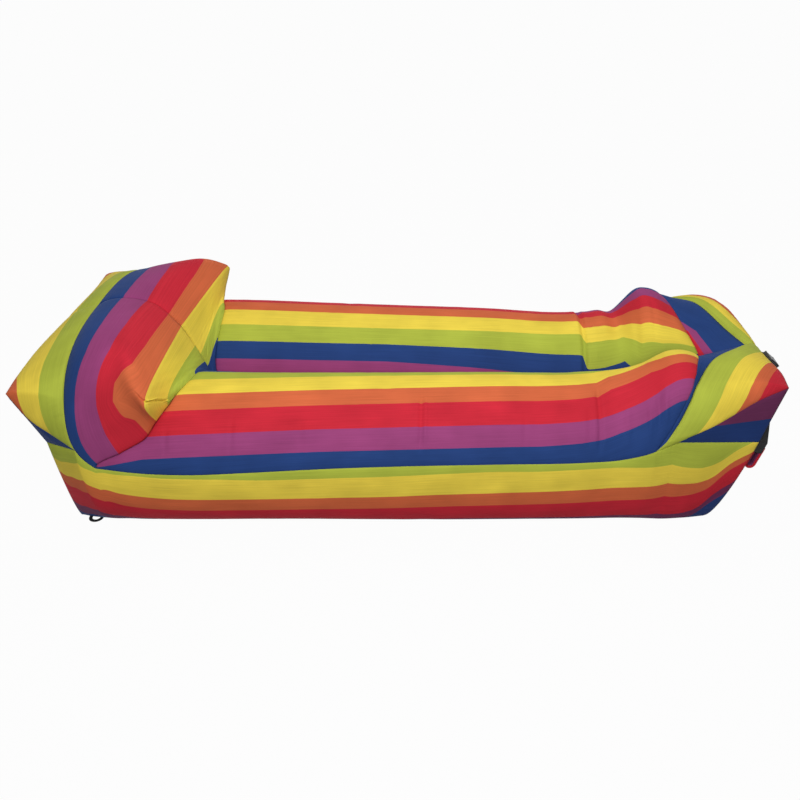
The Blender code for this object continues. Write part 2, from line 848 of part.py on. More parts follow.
# The roll's own frame: the middle of its rounded top, and the ways out of its face and down along it.
def roll_frame():
    fold = Vector(place(foot_fold_shares[1]))
    down = (Vector(place(foot_wall_pull_shares[1])) - fold).normalized()
    out = Vector((0.0, 1.0, 0.0)).cross(down).normalized()
    if out.x < 0:
        out = -out
    return fold + down * roll_drop + out * (roll_radius + fit_gap), out, down


# Flattened oval beside the end wall, grown or shrunk round the roll's middle plane.
def roll_outline(radius):
    top, out, down = roll_frame()
    bottom = top + down * (roll_depth - 2 * roll_radius)
    lean = math.degrees(math.atan2(out.z, out.x))
    upper = arc((top.x, top.z), radius, lean, lean + 180, 8)
    lower = arc((bottom.x, bottom.z), radius, lean + 180, lean + 360, 8)
    return upper + lower


def build_mouth():
    fabric = finish("mouth_roll", red, 0.6)
    body = prism(roll_outline(roll_radius), -roll_half_length, roll_half_length, 1)
    roll = keep("mouth_roll", body, fabric)
    bore = strip_thickness + 1.5 * fit_gap
    combine(roll, prism(roll_outline(bore), -2 * roll_half_length, 2 * roll_half_length, 1), "DIFFERENCE")
    top, out, down = roll_frame()
    depth = roll_depth - 2 * roll_radius
    for name, side in (("inner_mouth_strip", -1), ("outer_mouth_strip", 1)):
        near_face = side * fit_gap / 2
        far_face = near_face + side * strip_thickness
        corners = [top + out * near_face, top + out * far_face,
                   top + out * far_face + down * depth, top + out * near_face + down * depth]
        outline = [(c.x, c.z) for c in corners]
        strip = prism(outline, -strip_half_length, strip_half_length, 1)
        keep(name, strip, finish(name, film, 0.4), rounded=False)


# Where the buckle lies, and the ways out of its face and up along its width.
def buckle_frame():
    lean = math.radians(buckle_lean)
    middle = Vector(foot_edge(NEAR, stations[-1])) + Vector((buckle_reach, buckle_side, buckle_lift))
    face = Vector((math.cos(lean), 0.0, -math.sin(lean)))
    up = Vector((math.sin(lean), 0.0, math.cos(lean)))
    return middle, face, up


# Moves an object that was drawn about the buckle's middle, with its face towards X, to where the buckle lies.
def lay(thing, offset=(0.0, 0.0, 0.0)):
    middle, out, up = buckle_frame()
    thing.location = middle + out * offset[0] + Vector((0.0, offset[1], 0.0)) + up * offset[2]
    thing.rotation_euler = (0.0, math.radians(buckle_lean), 0.0)
    return thing


# Cuts or joins one half of the buckle with a helper that stays out of the model.
def combine_laid(thing, mesh, operation):
    lay(combine(thing, mesh, operation))


# Two arms and a round bar that the webbing turns round, at one end of a buckle half.
def add_bar(thing, back, side):
    far = back + side * 2 * arm_length
    depth = buckle_thickness
    notch = block((-depth, min(back, far), -slot_half_width), (depth, max(back, far), slot_half_width))
    combine_laid(thing, notch, "DIFFERENCE")
    bar = arc((0.0, back + side * bar_offset), bar_radius, 0, 337.5, 15)
    reach = slot_half_width + buckle_wall
    combine_laid(thing, prism(bar, -reach, reach, 2), "UNION")


def build_socket():
    half = buckle_width / 2
    depth = buckle_thickness / 2
    thin = depth - buckle_wall
    body = block((-depth, socket_back - arm_length, -half), (depth, socket_mouth, half), buckle_edge)
    socket = lay(keep("buckle_socket", body, finish("buckle_socket", black, 0.35)))
    floor = socket_back + buckle_wall
    hollow = block((-thin, floor, -half + buckle_wall), (thin, 2 * clip_back, half - buckle_wall))
    combine_laid(socket, hollow, "DIFFERENCE")
    low = (-thin, barb_back - window_slack, -buckle_width)
    window = block(low, (thin, barb_front + fit_gap, buckle_width))
    combine_laid(socket, window, "DIFFERENCE")
    add_bar(socket, socket_back, -1)


# Distance of a prong's middle line from the buckle's.
def prong_offset():
    return buckle_width / 2 - buckle_wall - fit_gap - prong_half_width


def build_clip():
    half = buckle_width / 2
    depth = buckle_thickness / 2
    thin = depth - buckle_wall - fit_gap
    body = block((-depth, socket_mouth + fit_gap, -half), (depth, clip_back + arm_length, half), buckle_edge)
    clip = lay(keep("buckle_clip", body, finish("buckle_clip", black, 0.35)))
    high = (thin, clip_back - buckle_wall, tongue_half_width)
    tongue = block((-thin, tongue_tip, -tongue_half_width), high)
    combine_laid(clip, tongue, "UNION")
    for side in (-1, 1):
        radius = prong_root_radius + fit_gap
        height = side * prong_offset()
        pocket = arc((prong_root_y, height), radius, -90, 90, 10)
        pocket += [(tongue_tip, height + radius), (tongue_tip, height - radius)]
        combine_laid(clip, prism(pocket, -thin - fit_gap, thin + fit_gap, 0), "DIFFERENCE")
    add_bar(clip, clip_back, 1)


# One springy prong, drawn round its own root so that it turns about its origin.
def build_prong(name, side):
    lean = math.degrees(math.asin(prong_half_width / prong_root_radius))
    outline = arc((0.0, 0.0), prong_root_radius, lean - 180, 180 - lean, 14)
    outline += [
        (barb_front - prong_root_y, prong_half_width),
        (barb_front - prong_root_y, prong_half_width + barb_reach),
        (barb_back - prong_root_y, prong_half_width + fit_gap),
        (prong_tip - prong_root_y, 0.0),
        (prong_tip - prong_root_y, -prong_half_width),
    ]
    outline = [(y, side * z) for y, z in outline]
    thin = buckle_thickness / 2 - buckle_wall - fit_gap
    prong = keep(name, prism(outline, -thin, thin, 0), finish(name, black, 0.35))
    lay(prong, (0.0, prong_root_y, side * prong_offset()))


# Closing strap: sewn round a buckle bar, led down to the roll's end and hemmed over its flat end.
def build_strap(name, side, back):
    middle, face, up = buckle_frame()
    top, out, down = roll_frame()
    bar = middle + Vector((0.0, back + side * bar_offset, 0.0))
    wrap = bar_radius + fit_gap + webbing_thickness / 2
    ends = roll_half_length + fit_gap + webbing_thickness / 2

    def roll_point(y, level):
        return Vector((top.x, side * y, top.z)) + down * level

    crest = -roll_radius - fit_gap - webbing_thickness
    landing = roll_point(ends - webbing_thickness / 2, crest)
    run = landing - bar
    run = (run - up * run.dot(up)).normalized()
    lift = (face - run * face.dot(run)).normalized()
    fold = 2 * webbing_thickness
    start = bar - lift * wrap
    path = []
    for distance, share in ((1.0, 0.0), (0.55, 0.1), (0.28, 0.55), (0.13, 0.93)):
        path.append(start + run * strap_tail * distance + lift * (fold + (2 * wrap - fold) * share))
    for over, behind in arc((0.0, 0.0), wrap, 0, 180, 6):
        path.append(bar + lift * over - run * behind)
    path += [start.lerp(landing, k / 6) for k in range(1, 6)]
    count = len(path) - 1
    ways = [up.lerp(-out, max(0.0, (k - 10) / (count - 10))) for k in range(len(path))]
    path.append(landing)
    path.append(roll_point(ends + webbing_thickness * 0.15, crest + webbing_thickness))
    path.append(roll_point(ends, crest + 3 * webbing_thickness))
    path.append(roll_point(ends, crest + 3 * webbing_thickness + strap_hem))
    ways += [-out] * (len(path) - len(ways))
    keep(name, ribbon(path, ways, webbing_width, webbing_thickness), finish(name, black, 0.7), rounded=False)


# Flat webbing loop on the ground beside the near head corner, open in the middle for a peg.
def build_stake_loop():
    stake_loop_x = stake_loop_share * half_length
    half = stake_loop_width / 2
    grounds = [(row[4], row[5]) for row in side_foot_shares]
    ground = max(along(grounds, stake_loop_x + step) for step in (-half, 0.0, half)) * ground_half_width
    start = -(ground + stake_loop_offset)
    inner = half - stake_loop_band
    turn = start - stake_loop_reach + half
    outline = [(stake_loop_x + half, start)]
    outline += arc((stake_loop_x, turn), half, 0, -180, 12)
    outline += [(stake_loop_x - half, start), (stake_loop_x - inner, start)]
    outline += arc((stake_loop_x, turn), inner, 180, 360, 12)
    outline += [(stake_loop_x + inner, start)]
    webbing = finish("stake_loop", black, 0.7)
    keep("stake_loop", prism(outline, 0.0, webbing_thickness, 2), webbing, rounded=False)


# Moves everything along X until the origin lies under the middle of the whole length.
def centre_on_origin():
    bpy.context.view_layer.update()
    solids = [thing for thing in bpy.data.objects if not thing.hide_render]
    reach = [(thing.matrix_world @ corner.co).x for thing in solids for corner in thing.data.vertices]
    middle = (min(reach) + max(reach)) / 2
    for thing in bpy.data.objects:
        thing.location.x -= middle


def main():
    clear_scene()
    build_cover()
    build_mouth()
    build_socket()
    build_clip()
    build_prong("upper_prong", 1)
    build_prong("lower_prong", -1)
    build_strap("near_strap", -1, socket_back)
    build_strap("far_strap", 1, clip_back)
    build_stake_loop()
    centre_on_origin()


main()
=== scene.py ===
# Inflatable air lounger: a striped cover over two air liners, a rolled mouth, black webbing and a buckle.
# Metres, +Z up. +X points to the foot end, the near side is -Y, and the ground is Z = 0.

import math

import bmesh
import bpy
import numpy as np
from mathutils import Matrix, Vector


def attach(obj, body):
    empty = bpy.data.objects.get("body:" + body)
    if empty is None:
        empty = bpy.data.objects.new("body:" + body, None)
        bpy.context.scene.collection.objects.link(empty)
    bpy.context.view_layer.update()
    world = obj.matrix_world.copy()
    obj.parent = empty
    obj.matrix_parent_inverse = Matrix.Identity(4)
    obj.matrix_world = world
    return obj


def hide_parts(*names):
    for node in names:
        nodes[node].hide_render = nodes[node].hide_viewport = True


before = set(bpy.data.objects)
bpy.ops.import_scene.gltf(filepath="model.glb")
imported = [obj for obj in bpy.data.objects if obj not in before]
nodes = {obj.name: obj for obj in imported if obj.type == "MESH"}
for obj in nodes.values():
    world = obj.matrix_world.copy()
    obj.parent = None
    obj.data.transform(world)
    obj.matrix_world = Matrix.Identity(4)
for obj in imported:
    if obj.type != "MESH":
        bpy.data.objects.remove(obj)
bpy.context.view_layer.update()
print("frame loaded:", len(nodes), "nodes")

near = -1
far = 1

# Overall sizes of the inflated shape
shape = {
    "halfLength": 1.0,
    "halfWidth": 0.44,
    "backHeight": 0.50,
    "shiftX": -0.024325,        # the origin lies under the middle of the whole length
    "tubeSpacing": 0.215,
    "tubeGirth": 0.20,
    "crownHeight": 0.39,
    "channelHeight": 0.19,
    "undersideHeight": 0.09,
    "groundHalfWidth": 0.32,
    "lobeSwell": 0.035,
    "headEndSwell": 0.03,
    "flapHollow": 0.012,
    "sideSwell": 0.012,
    "wallPull": 0.8,
    "flatShare": 0.45,
}
whole = np.array((shape["halfLength"], shape["halfWidth"], shape["backHeight"]))

# Tube sections along the length: place, spacing, girth, crown and channel heights, as shares
tubeShares = (
    (-0.95, 1.149, 0.975, 0.950, 1.000),
    (-0.78, 1.149, 0.990, 0.987, 1.000),
    (-0.54, 1.140, 1.000, 1.000, 1.000),
    (-0.25, 1.065, 1.000, 1.000, 1.000),
    (0.00, 1.000, 1.000, 1.000, 1.000),
    (0.25, 0.935, 1.000, 1.000, 1.000),
    (0.50, 0.874, 0.965, 0.990, 1.050),
    (0.58, 0.872, 0.930, 1.005, 1.130),
    (0.66, 0.884, 0.890, 1.085, 1.320),
    (0.73, 0.907, 0.810, 1.210, 1.580),
    (0.80, 0.898, 0.775, 1.165, 1.760),
    (0.86, 0.860, 0.750, 1.030, 1.900),
)

# Nine stations round a tube, from the side seam over the crown down to the channel
stations = np.arange(9.0)
stationAngles = (16.0, 20.0, 27.0, 38.5, 53.0, 67.0, 98.0, 145.0, 180.0)      # degrees from level

# Where the tube meets the pillow and the foot band, at the nine stations
headCreaseShares = (-0.785, -0.775, -0.722, -0.655, -0.628, -0.603, -0.572, -0.572, -0.550)
footCreaseShares = (0.672, 0.685, 0.708, 0.733, 0.757, 0.772, 0.800, 0.845, 0.859)

# Along the length: how far the side seam drops, in degrees, how much the far crown rises, as a share of the
# crown, and how much the near inner shoulder slumps, as a power
seamDropShares = (
    (-0.785, 0.0), (-0.69, 3.5), (-0.56, 5.0), (-0.40, 3.8), (-0.15, 1.2), (0.0, 0.4), (0.30, 0.0),
)
farRiseShares = (
    (0.560, 0.0), (0.600, 0.0), (0.655, -0.070), (0.685, -0.005), (0.705, 0.030), (0.735, 0.015),
    (0.780, -0.010),
)
nearSlumpShares = (
    (-0.60, 0.0), (-0.45, 0.30), (-0.20, 0.40), (0.10, 0.40), (0.45, 0.30), (0.58, 0.25), (0.66, 1.00),
    (0.74, 1.60), (0.82, 1.10), (0.86, 0.30),
)

# Pillow: its centre seam, the shoulder each row bends over, and how hard it bends there
pillow = {
    "middle": (
        (-0.878, 0.0, 1.016), (-0.840, 0.0, 1.050), (-0.785, 0.0, 1.060), (-0.710, 0.0, 1.020),
        (-0.645, 0.0, 0.888), (-0.612, 0.0, 0.750), (-0.595, 0.0, 0.670), (-0.577, 0.0, 0.570),
        (-0.550, 0.0, 0.380),
    ),
    "shoulder": (
        (-0.865, 1.034, 1.060), (-0.830, 1.045, 1.120), (-0.785, 1.057, 1.150), (-0.705, 1.068, 1.170),
        (-0.615, 1.148, 0.970), (-0.600, 0.830, 0.860), (-0.588, 0.430, 0.790), (-0.575, 0.060, 0.600),
        (-0.550, 0.000, 0.380),
    ),
    "farShoulder": (
        (0.0, 0.0, 0.010), (0.0, 0.0, -0.030), (0.0, 0.0, -0.034), (0.010, 0.0, -0.022), (0.028, 0.0, -0.016),
        (0.010, 0.020, 0.0), (0.0, 0.0, 0.0), (0.0, 0.0, 0.0), (0.0, 0.0, 0.0),
    ),
    "pull": (1.2, 1.25, 1.3, 1.4, 3.0, 1.2, 1.0, 1.0, 1.0),
    "lip": 4,
    "lean": 0.028,
    "leanShare": 0.12,
    "leanRows": 2,
}

# Head end: steps from the side seam to the middle, the gusset's tip and the ear, then the outer edge
headEnd = {
    "steps": (0.0, 0.09, 0.20, 0.29, 0.38, 0.48, 0.58, 0.68, 0.79, 0.90, 1.0),
    "tip": 1,
    "ear": 4,
    "edge": (
        (-0.900, 0.920, 0.660), (-0.950, 0.895, 0.730), (-1.000, 0.870, 0.872), (-1.004, 0.716, 0.880),
        (-1.006, 0.568, 0.884), (-1.006, 0.420, 0.886), (-1.005, 0.273, 0.882), (-1.002, 0.136, 0.876),
        (-1.000, 0.000, 0.870),
    ),
    "fold": ((-0.938, 0.823, 0.548), (-0.942, 0.0, 0.540)),
    "pull": ((-0.925, 0.761, 0.020), (-0.930, 0.0, 0.020)),
    "ground": ((-0.912, 0.750, 0.000), (-0.915, 0.0, 0.000)),
    "farRidge": 0.020,
    "swell": (0.0, 0.3, 0.6, 0.9, 1.0, 1.0, 1.0, 1.0, 1.0, 1.0),
    "swellWay": (-0.6, 0.0, 0.8),
}

# Foot end: the seam at the nine stations, then the lobe's outer edge up the gusset and along the ridge
footEnd = {
    "ear": 5,
    "seam": {
        near: (
            (0.672, 0.823, 0.574), (0.694, 0.809, 0.602), (0.709, 0.786, 0.642), (0.729, 0.755, 0.708),
            (0.753, 0.695, 0.794), (0.776, 0.610, 0.858), (0.834, 0.415, 0.906), (0.930, 0.170, 0.864),
            (0.985, 0.000, 0.800),
        ),
        far: (
            (0.672, 0.823, 0.574), (0.700, 0.809, 0.602), (0.722, 0.789, 0.642), (0.750, 0.762, 0.700),
            (0.790, 0.710, 0.770), (0.825, 0.640, 0.820), (0.888, 0.480, 0.870), (0.955, 0.190, 0.810),
            (0.985, 0.000, 0.800),
        ),
    },
    "edge": {
        near: (
            (0.725, 0.784, 0.590), (0.765, 0.777, 0.632), (0.810, 0.766, 0.676), (0.860, 0.743, 0.736),
            (0.925, 0.705, 0.810), (1.000, 0.659, 0.864), (1.010, 0.455, 0.856), (1.018, 0.182, 0.798),
            (1.020, 0.000, 0.774),
        ),
        far: (
            (0.725, 0.784, 0.590), (0.765, 0.777, 0.628), (0.808, 0.766, 0.666), (0.855, 0.743, 0.710),
            (0.915, 0.705, 0.762), (0.985, 0.659, 0.808), (1.000, 0.455, 0.812), (1.015, 0.182, 0.790),
            (1.020, 0.000, 0.774),
        ),
    },
    "gussetRun": (0.0, 0.17, 0.36, 0.57, 0.80, 1.0),
    "fold": ((0.955, 0.682, 0.540), (0.957, 0.0, 0.530)),
    "pull": ((0.890, 0.670, 0.020), (0.888, 0.0, 0.020)),
    "ground": ((0.863, 0.625, 0.000), (0.850, 0.0, 0.000)),
    "swell": (
        (0.0, 0.0, 0.0), (0.0, 0.1, 0.05), (0.0, 0.2, 0.15), (0.0, 0.35, 0.4), (0.0, 0.4, 0.7),
        (0.1, 0.4, 0.9), (0.1, 0.2, 1.0), (0.1, 0.05, 0.9), (0.1, 0.0, 0.7),
    ),
}

# Side panel feet: top place, bend place, its way out and height, ground place and distance from the middle
sideFootShares = (
    (-0.938, -0.922, -1.800, 0.020, -0.910, 1.025),
    (-0.900, -0.885, -0.600, 0.010, -0.875, 1.020),
    (-0.785, -0.785, 1.000, 0.000, -0.775, 0.920),
    (-0.540, -0.540, 1.000, 0.000, -0.540, 0.870),
    (0.000, 0.000, 1.000, 0.000, 0.000, 0.885),
    (0.500, 0.500, 1.000, 0.000, 0.500, 0.855),
    (0.670, 0.668, 1.000, 0.000, 0.660, 0.850),
    (0.725, 0.720, 0.900, 0.000, 0.710, 0.875),
    (0.850, 0.817, 0.300, 0.010, 0.795, 0.884),
    (0.955, 0.896, -0.450, 0.020, 0.863, 0.859),
)

# How finely the cloth is cut, in metres, and how the inflated cloth sits between its seams
cloth = {
    "cell": 0.0045,
    "thickness": 0.0012,
    "puff": 0.0030,         # how far a panel stands up between its seams
    "puffReach": 0.007,
    "pucker": 0.0011,       # height of the gathers along a seam
    "puckerLength": 0.019,
    "puckerReach": 0.022,
    "sway": 0.0011,         # slow unevenness of the whole cloth
    "swayRates": ((3.1, 4.3), (-2.9, 6.7)),
    "seamReach": 0.004,     # how close to a seam the cloth is held
    "gussetPuff": 0.5,
    "bandPuff": 0.6,
    "core": {"head": -0.78, "foot": 0.72, "out": 0.20, "height": 0.20},
}
mergeDistance = 0.00001
leastLength = 1e-12


# Smooth run through values at the given places (cubic Hermite arcs whose slopes are the step-weighted mean of
# the rates on both sides), with a sharp bend at each corner. Works on whole arrays of places.
def smoothRun(places, values, at, corners=()):
    places = np.asarray(places, float)
    values = np.asarray(values, float)
    flat = values.ndim == 1
    if flat:
        values = values[:, None]
    last = len(places) - 1
    steps = np.diff(places)
    rates = np.diff(values, axis=0) / steps[:, None]
    ahead = np.vstack([rates[:1], rates[-1:].repeat(last, 0)])
    behind = ahead.copy()
    inner = (rates[:-1] * steps[1:, None] + rates[1:] * steps[:-1, None]) / (steps[:-1] + steps[1:])[:, None]
    ahead[1:last] = behind[1:last] = inner
    for corner in corners:
        ahead[corner] = rates[min(corner, last - 1)]
        behind[corner] = rates[corner - 1]
    at = np.clip(np.asarray(at, float), places[0], places[-1])
    k = np.clip(np.searchsorted(places, at, side="right") - 1, 0, last - 1)
    h = steps[k][..., None]
    f = (at - places[k])[..., None] / h
    start = values[k] * (1 + 2 * f) * (1 - f) ** 2 + ahead[k] * h * f * (1 - f) ** 2
    end = values[k + 1] * f * f * (3 - 2 * f) + behind[k + 1] * h * f * f * (f - 1)
    run = start + end
    return run[..., 0] if flat else run


# Rational quadratic arc from start to end that bends towards a third point, the harder the greater the pull.
def bow(start, bend, end, pull, t):
    t = np.asarray(t, float)[..., None]
    pull = np.asarray(pull, float)
    pull = pull[..., None] if pull.ndim else pull
    first, middle, final = (1 - t) ** 2, 2 * pull * t * (1 - t), t * t
    return (first * start + middle * bend + final * end) / (first + middle + final)


# Smooth run through a table of shares of the half length and values.
def along(table, x):
    places, values = np.array(table).T
    return smoothRun(places, values, x / shape["halfLength"])


# Tube skin: outside the crown an ellipse of half height crown/2 about mid height, inside it a half ellipse
# from the crown down to the channel, whose sine is raised to a power on the near side, where the shoulder
# slumps. The angle runs from the outer side over the top.
def tubePoint(side, x, angle):
    table = np.array(tubeShares)
    sizes = smoothRun(table[:, 0], table[:, 1:], x / shape["halfLength"])
    spacing = sizes[..., 0] * shape["tubeSpacing"]
    girth = sizes[..., 1] * shape["tubeGirth"]
    crown = sizes[..., 2] * shape["crownHeight"]
    channel = sizes[..., 3] * shape["channelHeight"]
    turn = np.radians(angle)
    if side == far:
        crown = crown + along(farRiseShares, x) * shape["crownHeight"] * np.sin(turn) ** 2
    outer = angle <= 90
    y = np.where(outer, spacing + girth * np.cos(turn), spacing * (1 + np.cos(turn)))
    slump = 1.0 + (along(nearSlumpShares, x) if side == near else 0.0)
    inner = channel + (crown - channel) * np.clip(np.sin(turn), 0, 1) ** slump
    z = np.where(outer, crown / 2 * (1 + np.sin(turn)), inner)
    return np.stack([x + 0 * y, y, z], -1)


# Angle round the tube at station q, read straight off the list.
def stationAngle(q):
    return np.interp(q, stations, stationAngles)


# Crease across the tube: the tube point at the place and angle of station q.
def crease(shares, side, q):
    return tubePoint(side, smoothRun(stations, shares, q) * shape["halfLength"], stationAngle(q))


# Foot seam and outer edge: smooth runs through their listed points, the edge with a sharp bend at the ear.
def footSeam(side, q):
    points = np.array(footEnd["seam"][side]) * whole
    points[0] = crease(footCreaseShares, side, np.array(0.0))
    return smoothRun(stations, points, q)


def footEdge(side, q):
    return smoothRun(stations, np.array(footEnd["edge"][side]) * whole, q, corners=(footEnd["ear"],))


# Pillow row q: an arc from the tube crease over the shoulder to the centre seam. Beside the back seam the
# lowest rows lean back by lean * run * exp(1 - run), with run the share across over the lean share.
def pillowPoint(side, q, t):
    corners = (pillow["lip"],)
    middle = smoothRun(stations, np.array(pillow["middle"]) * whole, q, corners)
    shoulder = smoothRun(stations, np.array(pillow["shoulder"]) * whole, q, corners)
    pull = smoothRun(stations, pillow["pull"], q, corners)
    if side == far:
        shoulder = shoulder + smoothRun(stations, pillow["farShoulder"], q, corners) * shape["halfLength"]
    point = bow(crease(headCreaseShares, side, q), shoulder, middle, pull, t)
    run = t / pillow["leanShare"]
    point[..., 0] -= pillow["lean"] * np.clip(1 - q / pillow["leanRows"], 0, None) * run * np.exp(1 - run)
    return point


# Share across the head at step k, read straight off the list of steps.
def headStep(k):
    return np.interp(k, np.arange(len(headEnd["steps"])), headEnd["steps"])


# Outer edge of the head end: a smooth run from the gusset's tip up to the ear, then along the ridge to the
# middle. The far ridge bends inwards by half a sine.
def headEdge(side, k):
    tip = pillowPoint(side, np.array(0.0), np.array(headEnd["steps"][headEnd["tip"]]))
    points = np.vstack([tip, np.array(headEnd["edge"]) * whole])
    steps = np.arange(headEnd["tip"], len(headEnd["steps"]))
    if side == far:
        run = np.clip((steps - headEnd["ear"]) / (steps[-1] - headEnd["ear"]), 0, 1)
        points[:, 0] += headEnd["farRidge"] * shape["halfLength"] * np.sin(np.pi * run)
    return smoothRun(steps, points, k, corners=(headEnd["ear"] - headEnd["tip"],))


# Straight blend: first at run 0, second at run 1.
def blend(first, second, run):
    return first * (1 - run) + second * run


# Foot of each gusset: a straight line from the gusset's tip to the end of the fold.
def headGussetFoot(side, k):
    run = ((k - headEnd["tip"]) / (headEnd["ear"] - headEnd["tip"]))[..., None]
    return blend(headEdge(side, np.array(float(headEnd["tip"]))), np.array(headEnd["fold"][0]) * whole, run)


def footGussetFoot(side, q):
    run = np.interp(q, np.arange(footEnd["ear"] + 1), footEnd["gussetRun"])[..., None]
    return blend(footEdge(side, np.array(0.0)), np.array(footEnd["fold"][0]) * whole, run)


# Straight line of an end, from its outer point to the middle.
def across(shares, run):
    return blend(np.array(shares[0]) * whole, np.array(shares[1]) * whole, np.asarray(run, float)[..., None])


# Grid of arcs, one for each row of starts, bends and ends.
def arcSheet(start, bend, end, pull, t):
    return bow(start[:, None], bend[:, None], end[:, None], pull, t[None, :] + 0 * start[:, :1])


# Grid of straight lines, one for each row of starts and ends.
def straight(start, end, t):
    return start[:, None] + (end - start)[:, None] * t[None, :, None]


# Side panel column: an arc from the top edge over a bend just outside the foot to the ground.
def sideColumns(tops, t):
    table = np.array(sideFootShares)
    foot = smoothRun(table[:, 0], table[:, 1:], tops[..., 0] / shape["halfLength"])
    bend = np.stack([foot[..., 0] * shape["halfLength"], tops[..., 1] + foot[..., 1] * shape["sideSwell"],
                     foot[..., 2] * shape["backHeight"]], -1)
    ground = np.stack([foot[..., 3] * shape["halfLength"], foot[..., 4] * shape["groundHalfWidth"],
                       0 * foot[..., 0]], -1)
    return arcSheet(tops, bend, ground, shape["wallPull"], t)


# Even steps from low to high, one for each cell along the given length.
def spread(low, high, length):
    return np.linspace(low, high, max(3, round(length / cloth["cell"]) + 1))


# Distance along a grid's rows or columns, summed up from step to step.
def arcLength(points, axis):
    steps = np.linalg.norm(np.diff(points, axis=axis), axis=-1)
    start = np.zeros_like(np.take(steps, [0], axis=axis))
    return np.concatenate([start, np.cumsum(steps, axis=axis)], axis=axis)


# Gentle uneven wave: the mean of four sines whose lengths have no common measure.
def wave(s, seed):
    rates = (1.0, 0.618, 1.414, 2.236)
    turns = (0.9, 2.3, 4.1, 5.2)
    return sum(np.sin(2 * np.pi * s * r + t + seed * (1 + r)) for r, t in zip(rates, turns)) / 4


# Nearest point of a line that runs along the middle of a tube.
def coreOf(points, side, core):
    x = np.clip(points[..., 0], core["head"], core["foot"])
    return np.stack([x, 0 * x + side * core["out"], 0 * x + core["height"]], -1)


# Unit normals of a grid, the cross product of its two directions, turned away from the middle of the tube.
def outward(points, side):
    normal = np.cross(np.gradient(points, axis=0), np.gradient(points, axis=1))
    length = np.linalg.norm(normal, axis=-1, keepdims=True)
    normal = normal / np.maximum(length, leastLength)
    turned = ((points - coreOf(points, side, cloth["core"])) * normal * length).sum() < 0
    return (-normal if turned else normal), turned


# Blown-up cloth: each panel stands up between its seams and is gathered along them. The rise is puff * (1 -
# exp(-d / reach)) with d the distance to the nearest edge, and the gathers are waves along the edge that fade
# with that distance.
def inflate(points, side, seed, puff=1.0, gather=(1, 1, 1, 1), extra=0.0):
    normal, turned = outward(points, side)
    down = arcLength(points, 0)
    over = arcLength(points, 1)
    edges = (down, down[-1:] - down, over, over[:, -1:] - over)
    nearest = np.minimum.reduce(edges)
    rise = cloth["puff"] * puff * (1 - np.exp(-nearest / cloth["puffReach"]))
    for number, (edge, run) in enumerate(zip(edges, (over, over, down, down))):
        gathers = wave(run / cloth["puckerLength"], seed + number)
        rise = rise + cloth["pucker"] * gather[number] * gathers * np.exp(-edge / cloth["puckerReach"])
    first, second = cloth["swayRates"]
    slow = wave(down * first[0] + over * first[1], seed)
    rise = rise + cloth["sway"] * slow * wave(down * second[0] + over * second[1], seed + 3) + extra
    rise = rise * (1 - np.exp(-nearest / cloth["seamReach"]))
    swollen = points + normal * rise[..., None]
    swollen[..., 2] = np.maximum(swollen[..., 2], 0.0)
    return swollen, turned


def addObject(name, data):
    piece = bpy.data.objects.new(name, data)
    bpy.context.scene.collection.objects.link(piece)
    return piece


# Runs one change on a mesh and shades it smooth.
def rework(mesh, change):
    work = bmesh.new()
    work.from_mesh(mesh)
    change(work)
    work.to_mesh(mesh)
    work.free()
    mesh.shade_smooth()


def mergeDoubles(work):
    bmesh.ops.remove_doubles(work, verts=work.verts, dist=mergeDistance)


def mergeGrids(work):
    mergeDoubles(work)
    bmesh.ops.dissolve_degenerate(work, edges=work.edges, dist=mergeDistance)


# One object from several grids of points, each with its own pattern coordinates in metres: u along the
# stripes and v across them. Grid edges that meet are merged.
def gridPiece(name, grids, material, thickness=None):
    coords, uvs, quads = [], [], []
    start = 0
    for points, pattern, turned in grids:
        rows, columns = points.shape[:2]
        coords.append(points.reshape(-1, 3))
        uvs.append(pattern.reshape(-1, 2))
        index = np.arange(rows * columns).reshape(rows, columns) + start
        quad = np.stack([index[:-1, :-1], index[1:, :-1], index[1:, 1:], index[:-1, 1:]], -1).reshape(-1, 4)
        quads.append(quad[:, ::-1] if turned else quad)
        start += rows * columns
    coords, uvs, quads = np.concatenate(coords), np.concatenate(uvs), np.concatenate(quads)
    coords = coords + (shape["shiftX"], 0.0, 0.0)
    mesh = bpy.data.meshes.new(name)
    mesh.vertices.add(len(coords))
    mesh.vertices.foreach_set("co", coords.astype(np.float32).ravel())
    mesh.loops.add(quads.size)
    mesh.loops.foreach_set("vertex_index", quads.astype(np.int32).ravel())
    mesh.polygons.add(len(quads))
    mesh.polygons.foreach_set("loop_start", np.arange(0, quads.size, 4, dtype=np.int32))
    mesh.update(calc_edges=True)
    layer = mesh.uv_layers.new(name="cloth")
    layer.data.foreach_set("uv", uvs[quads.ravel()].astype(np.float32).ravel())
    rework(mesh, mergeGrids)
    mesh.materials.append(material)
    piece = addObject(name, mesh)
    if thickness:
        solid = piece.modifiers.new("thickness", "SOLIDIFY")
        solid.thickness = thickness
        solid.offset = -1.0
    return piece


# Puts a finished piece on the lounger, in place of its CAD node.
def standIn(piece, node):
    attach(piece, "lounger")
    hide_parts(node)
    return piece


# Pattern coordinates of a grid, from its two directions.
def paired(u, v):
    return np.stack(np.broadcast_arrays(u, v), -1)


# Grid mirrored to its own side, swollen, and paired with its pattern.
def panel(points, side, u, v, seed, **options):
    swollen, turned = inflate(points * (1.0, side, 1.0), side, seed, **options)
    return swollen, paired(u, v), turned


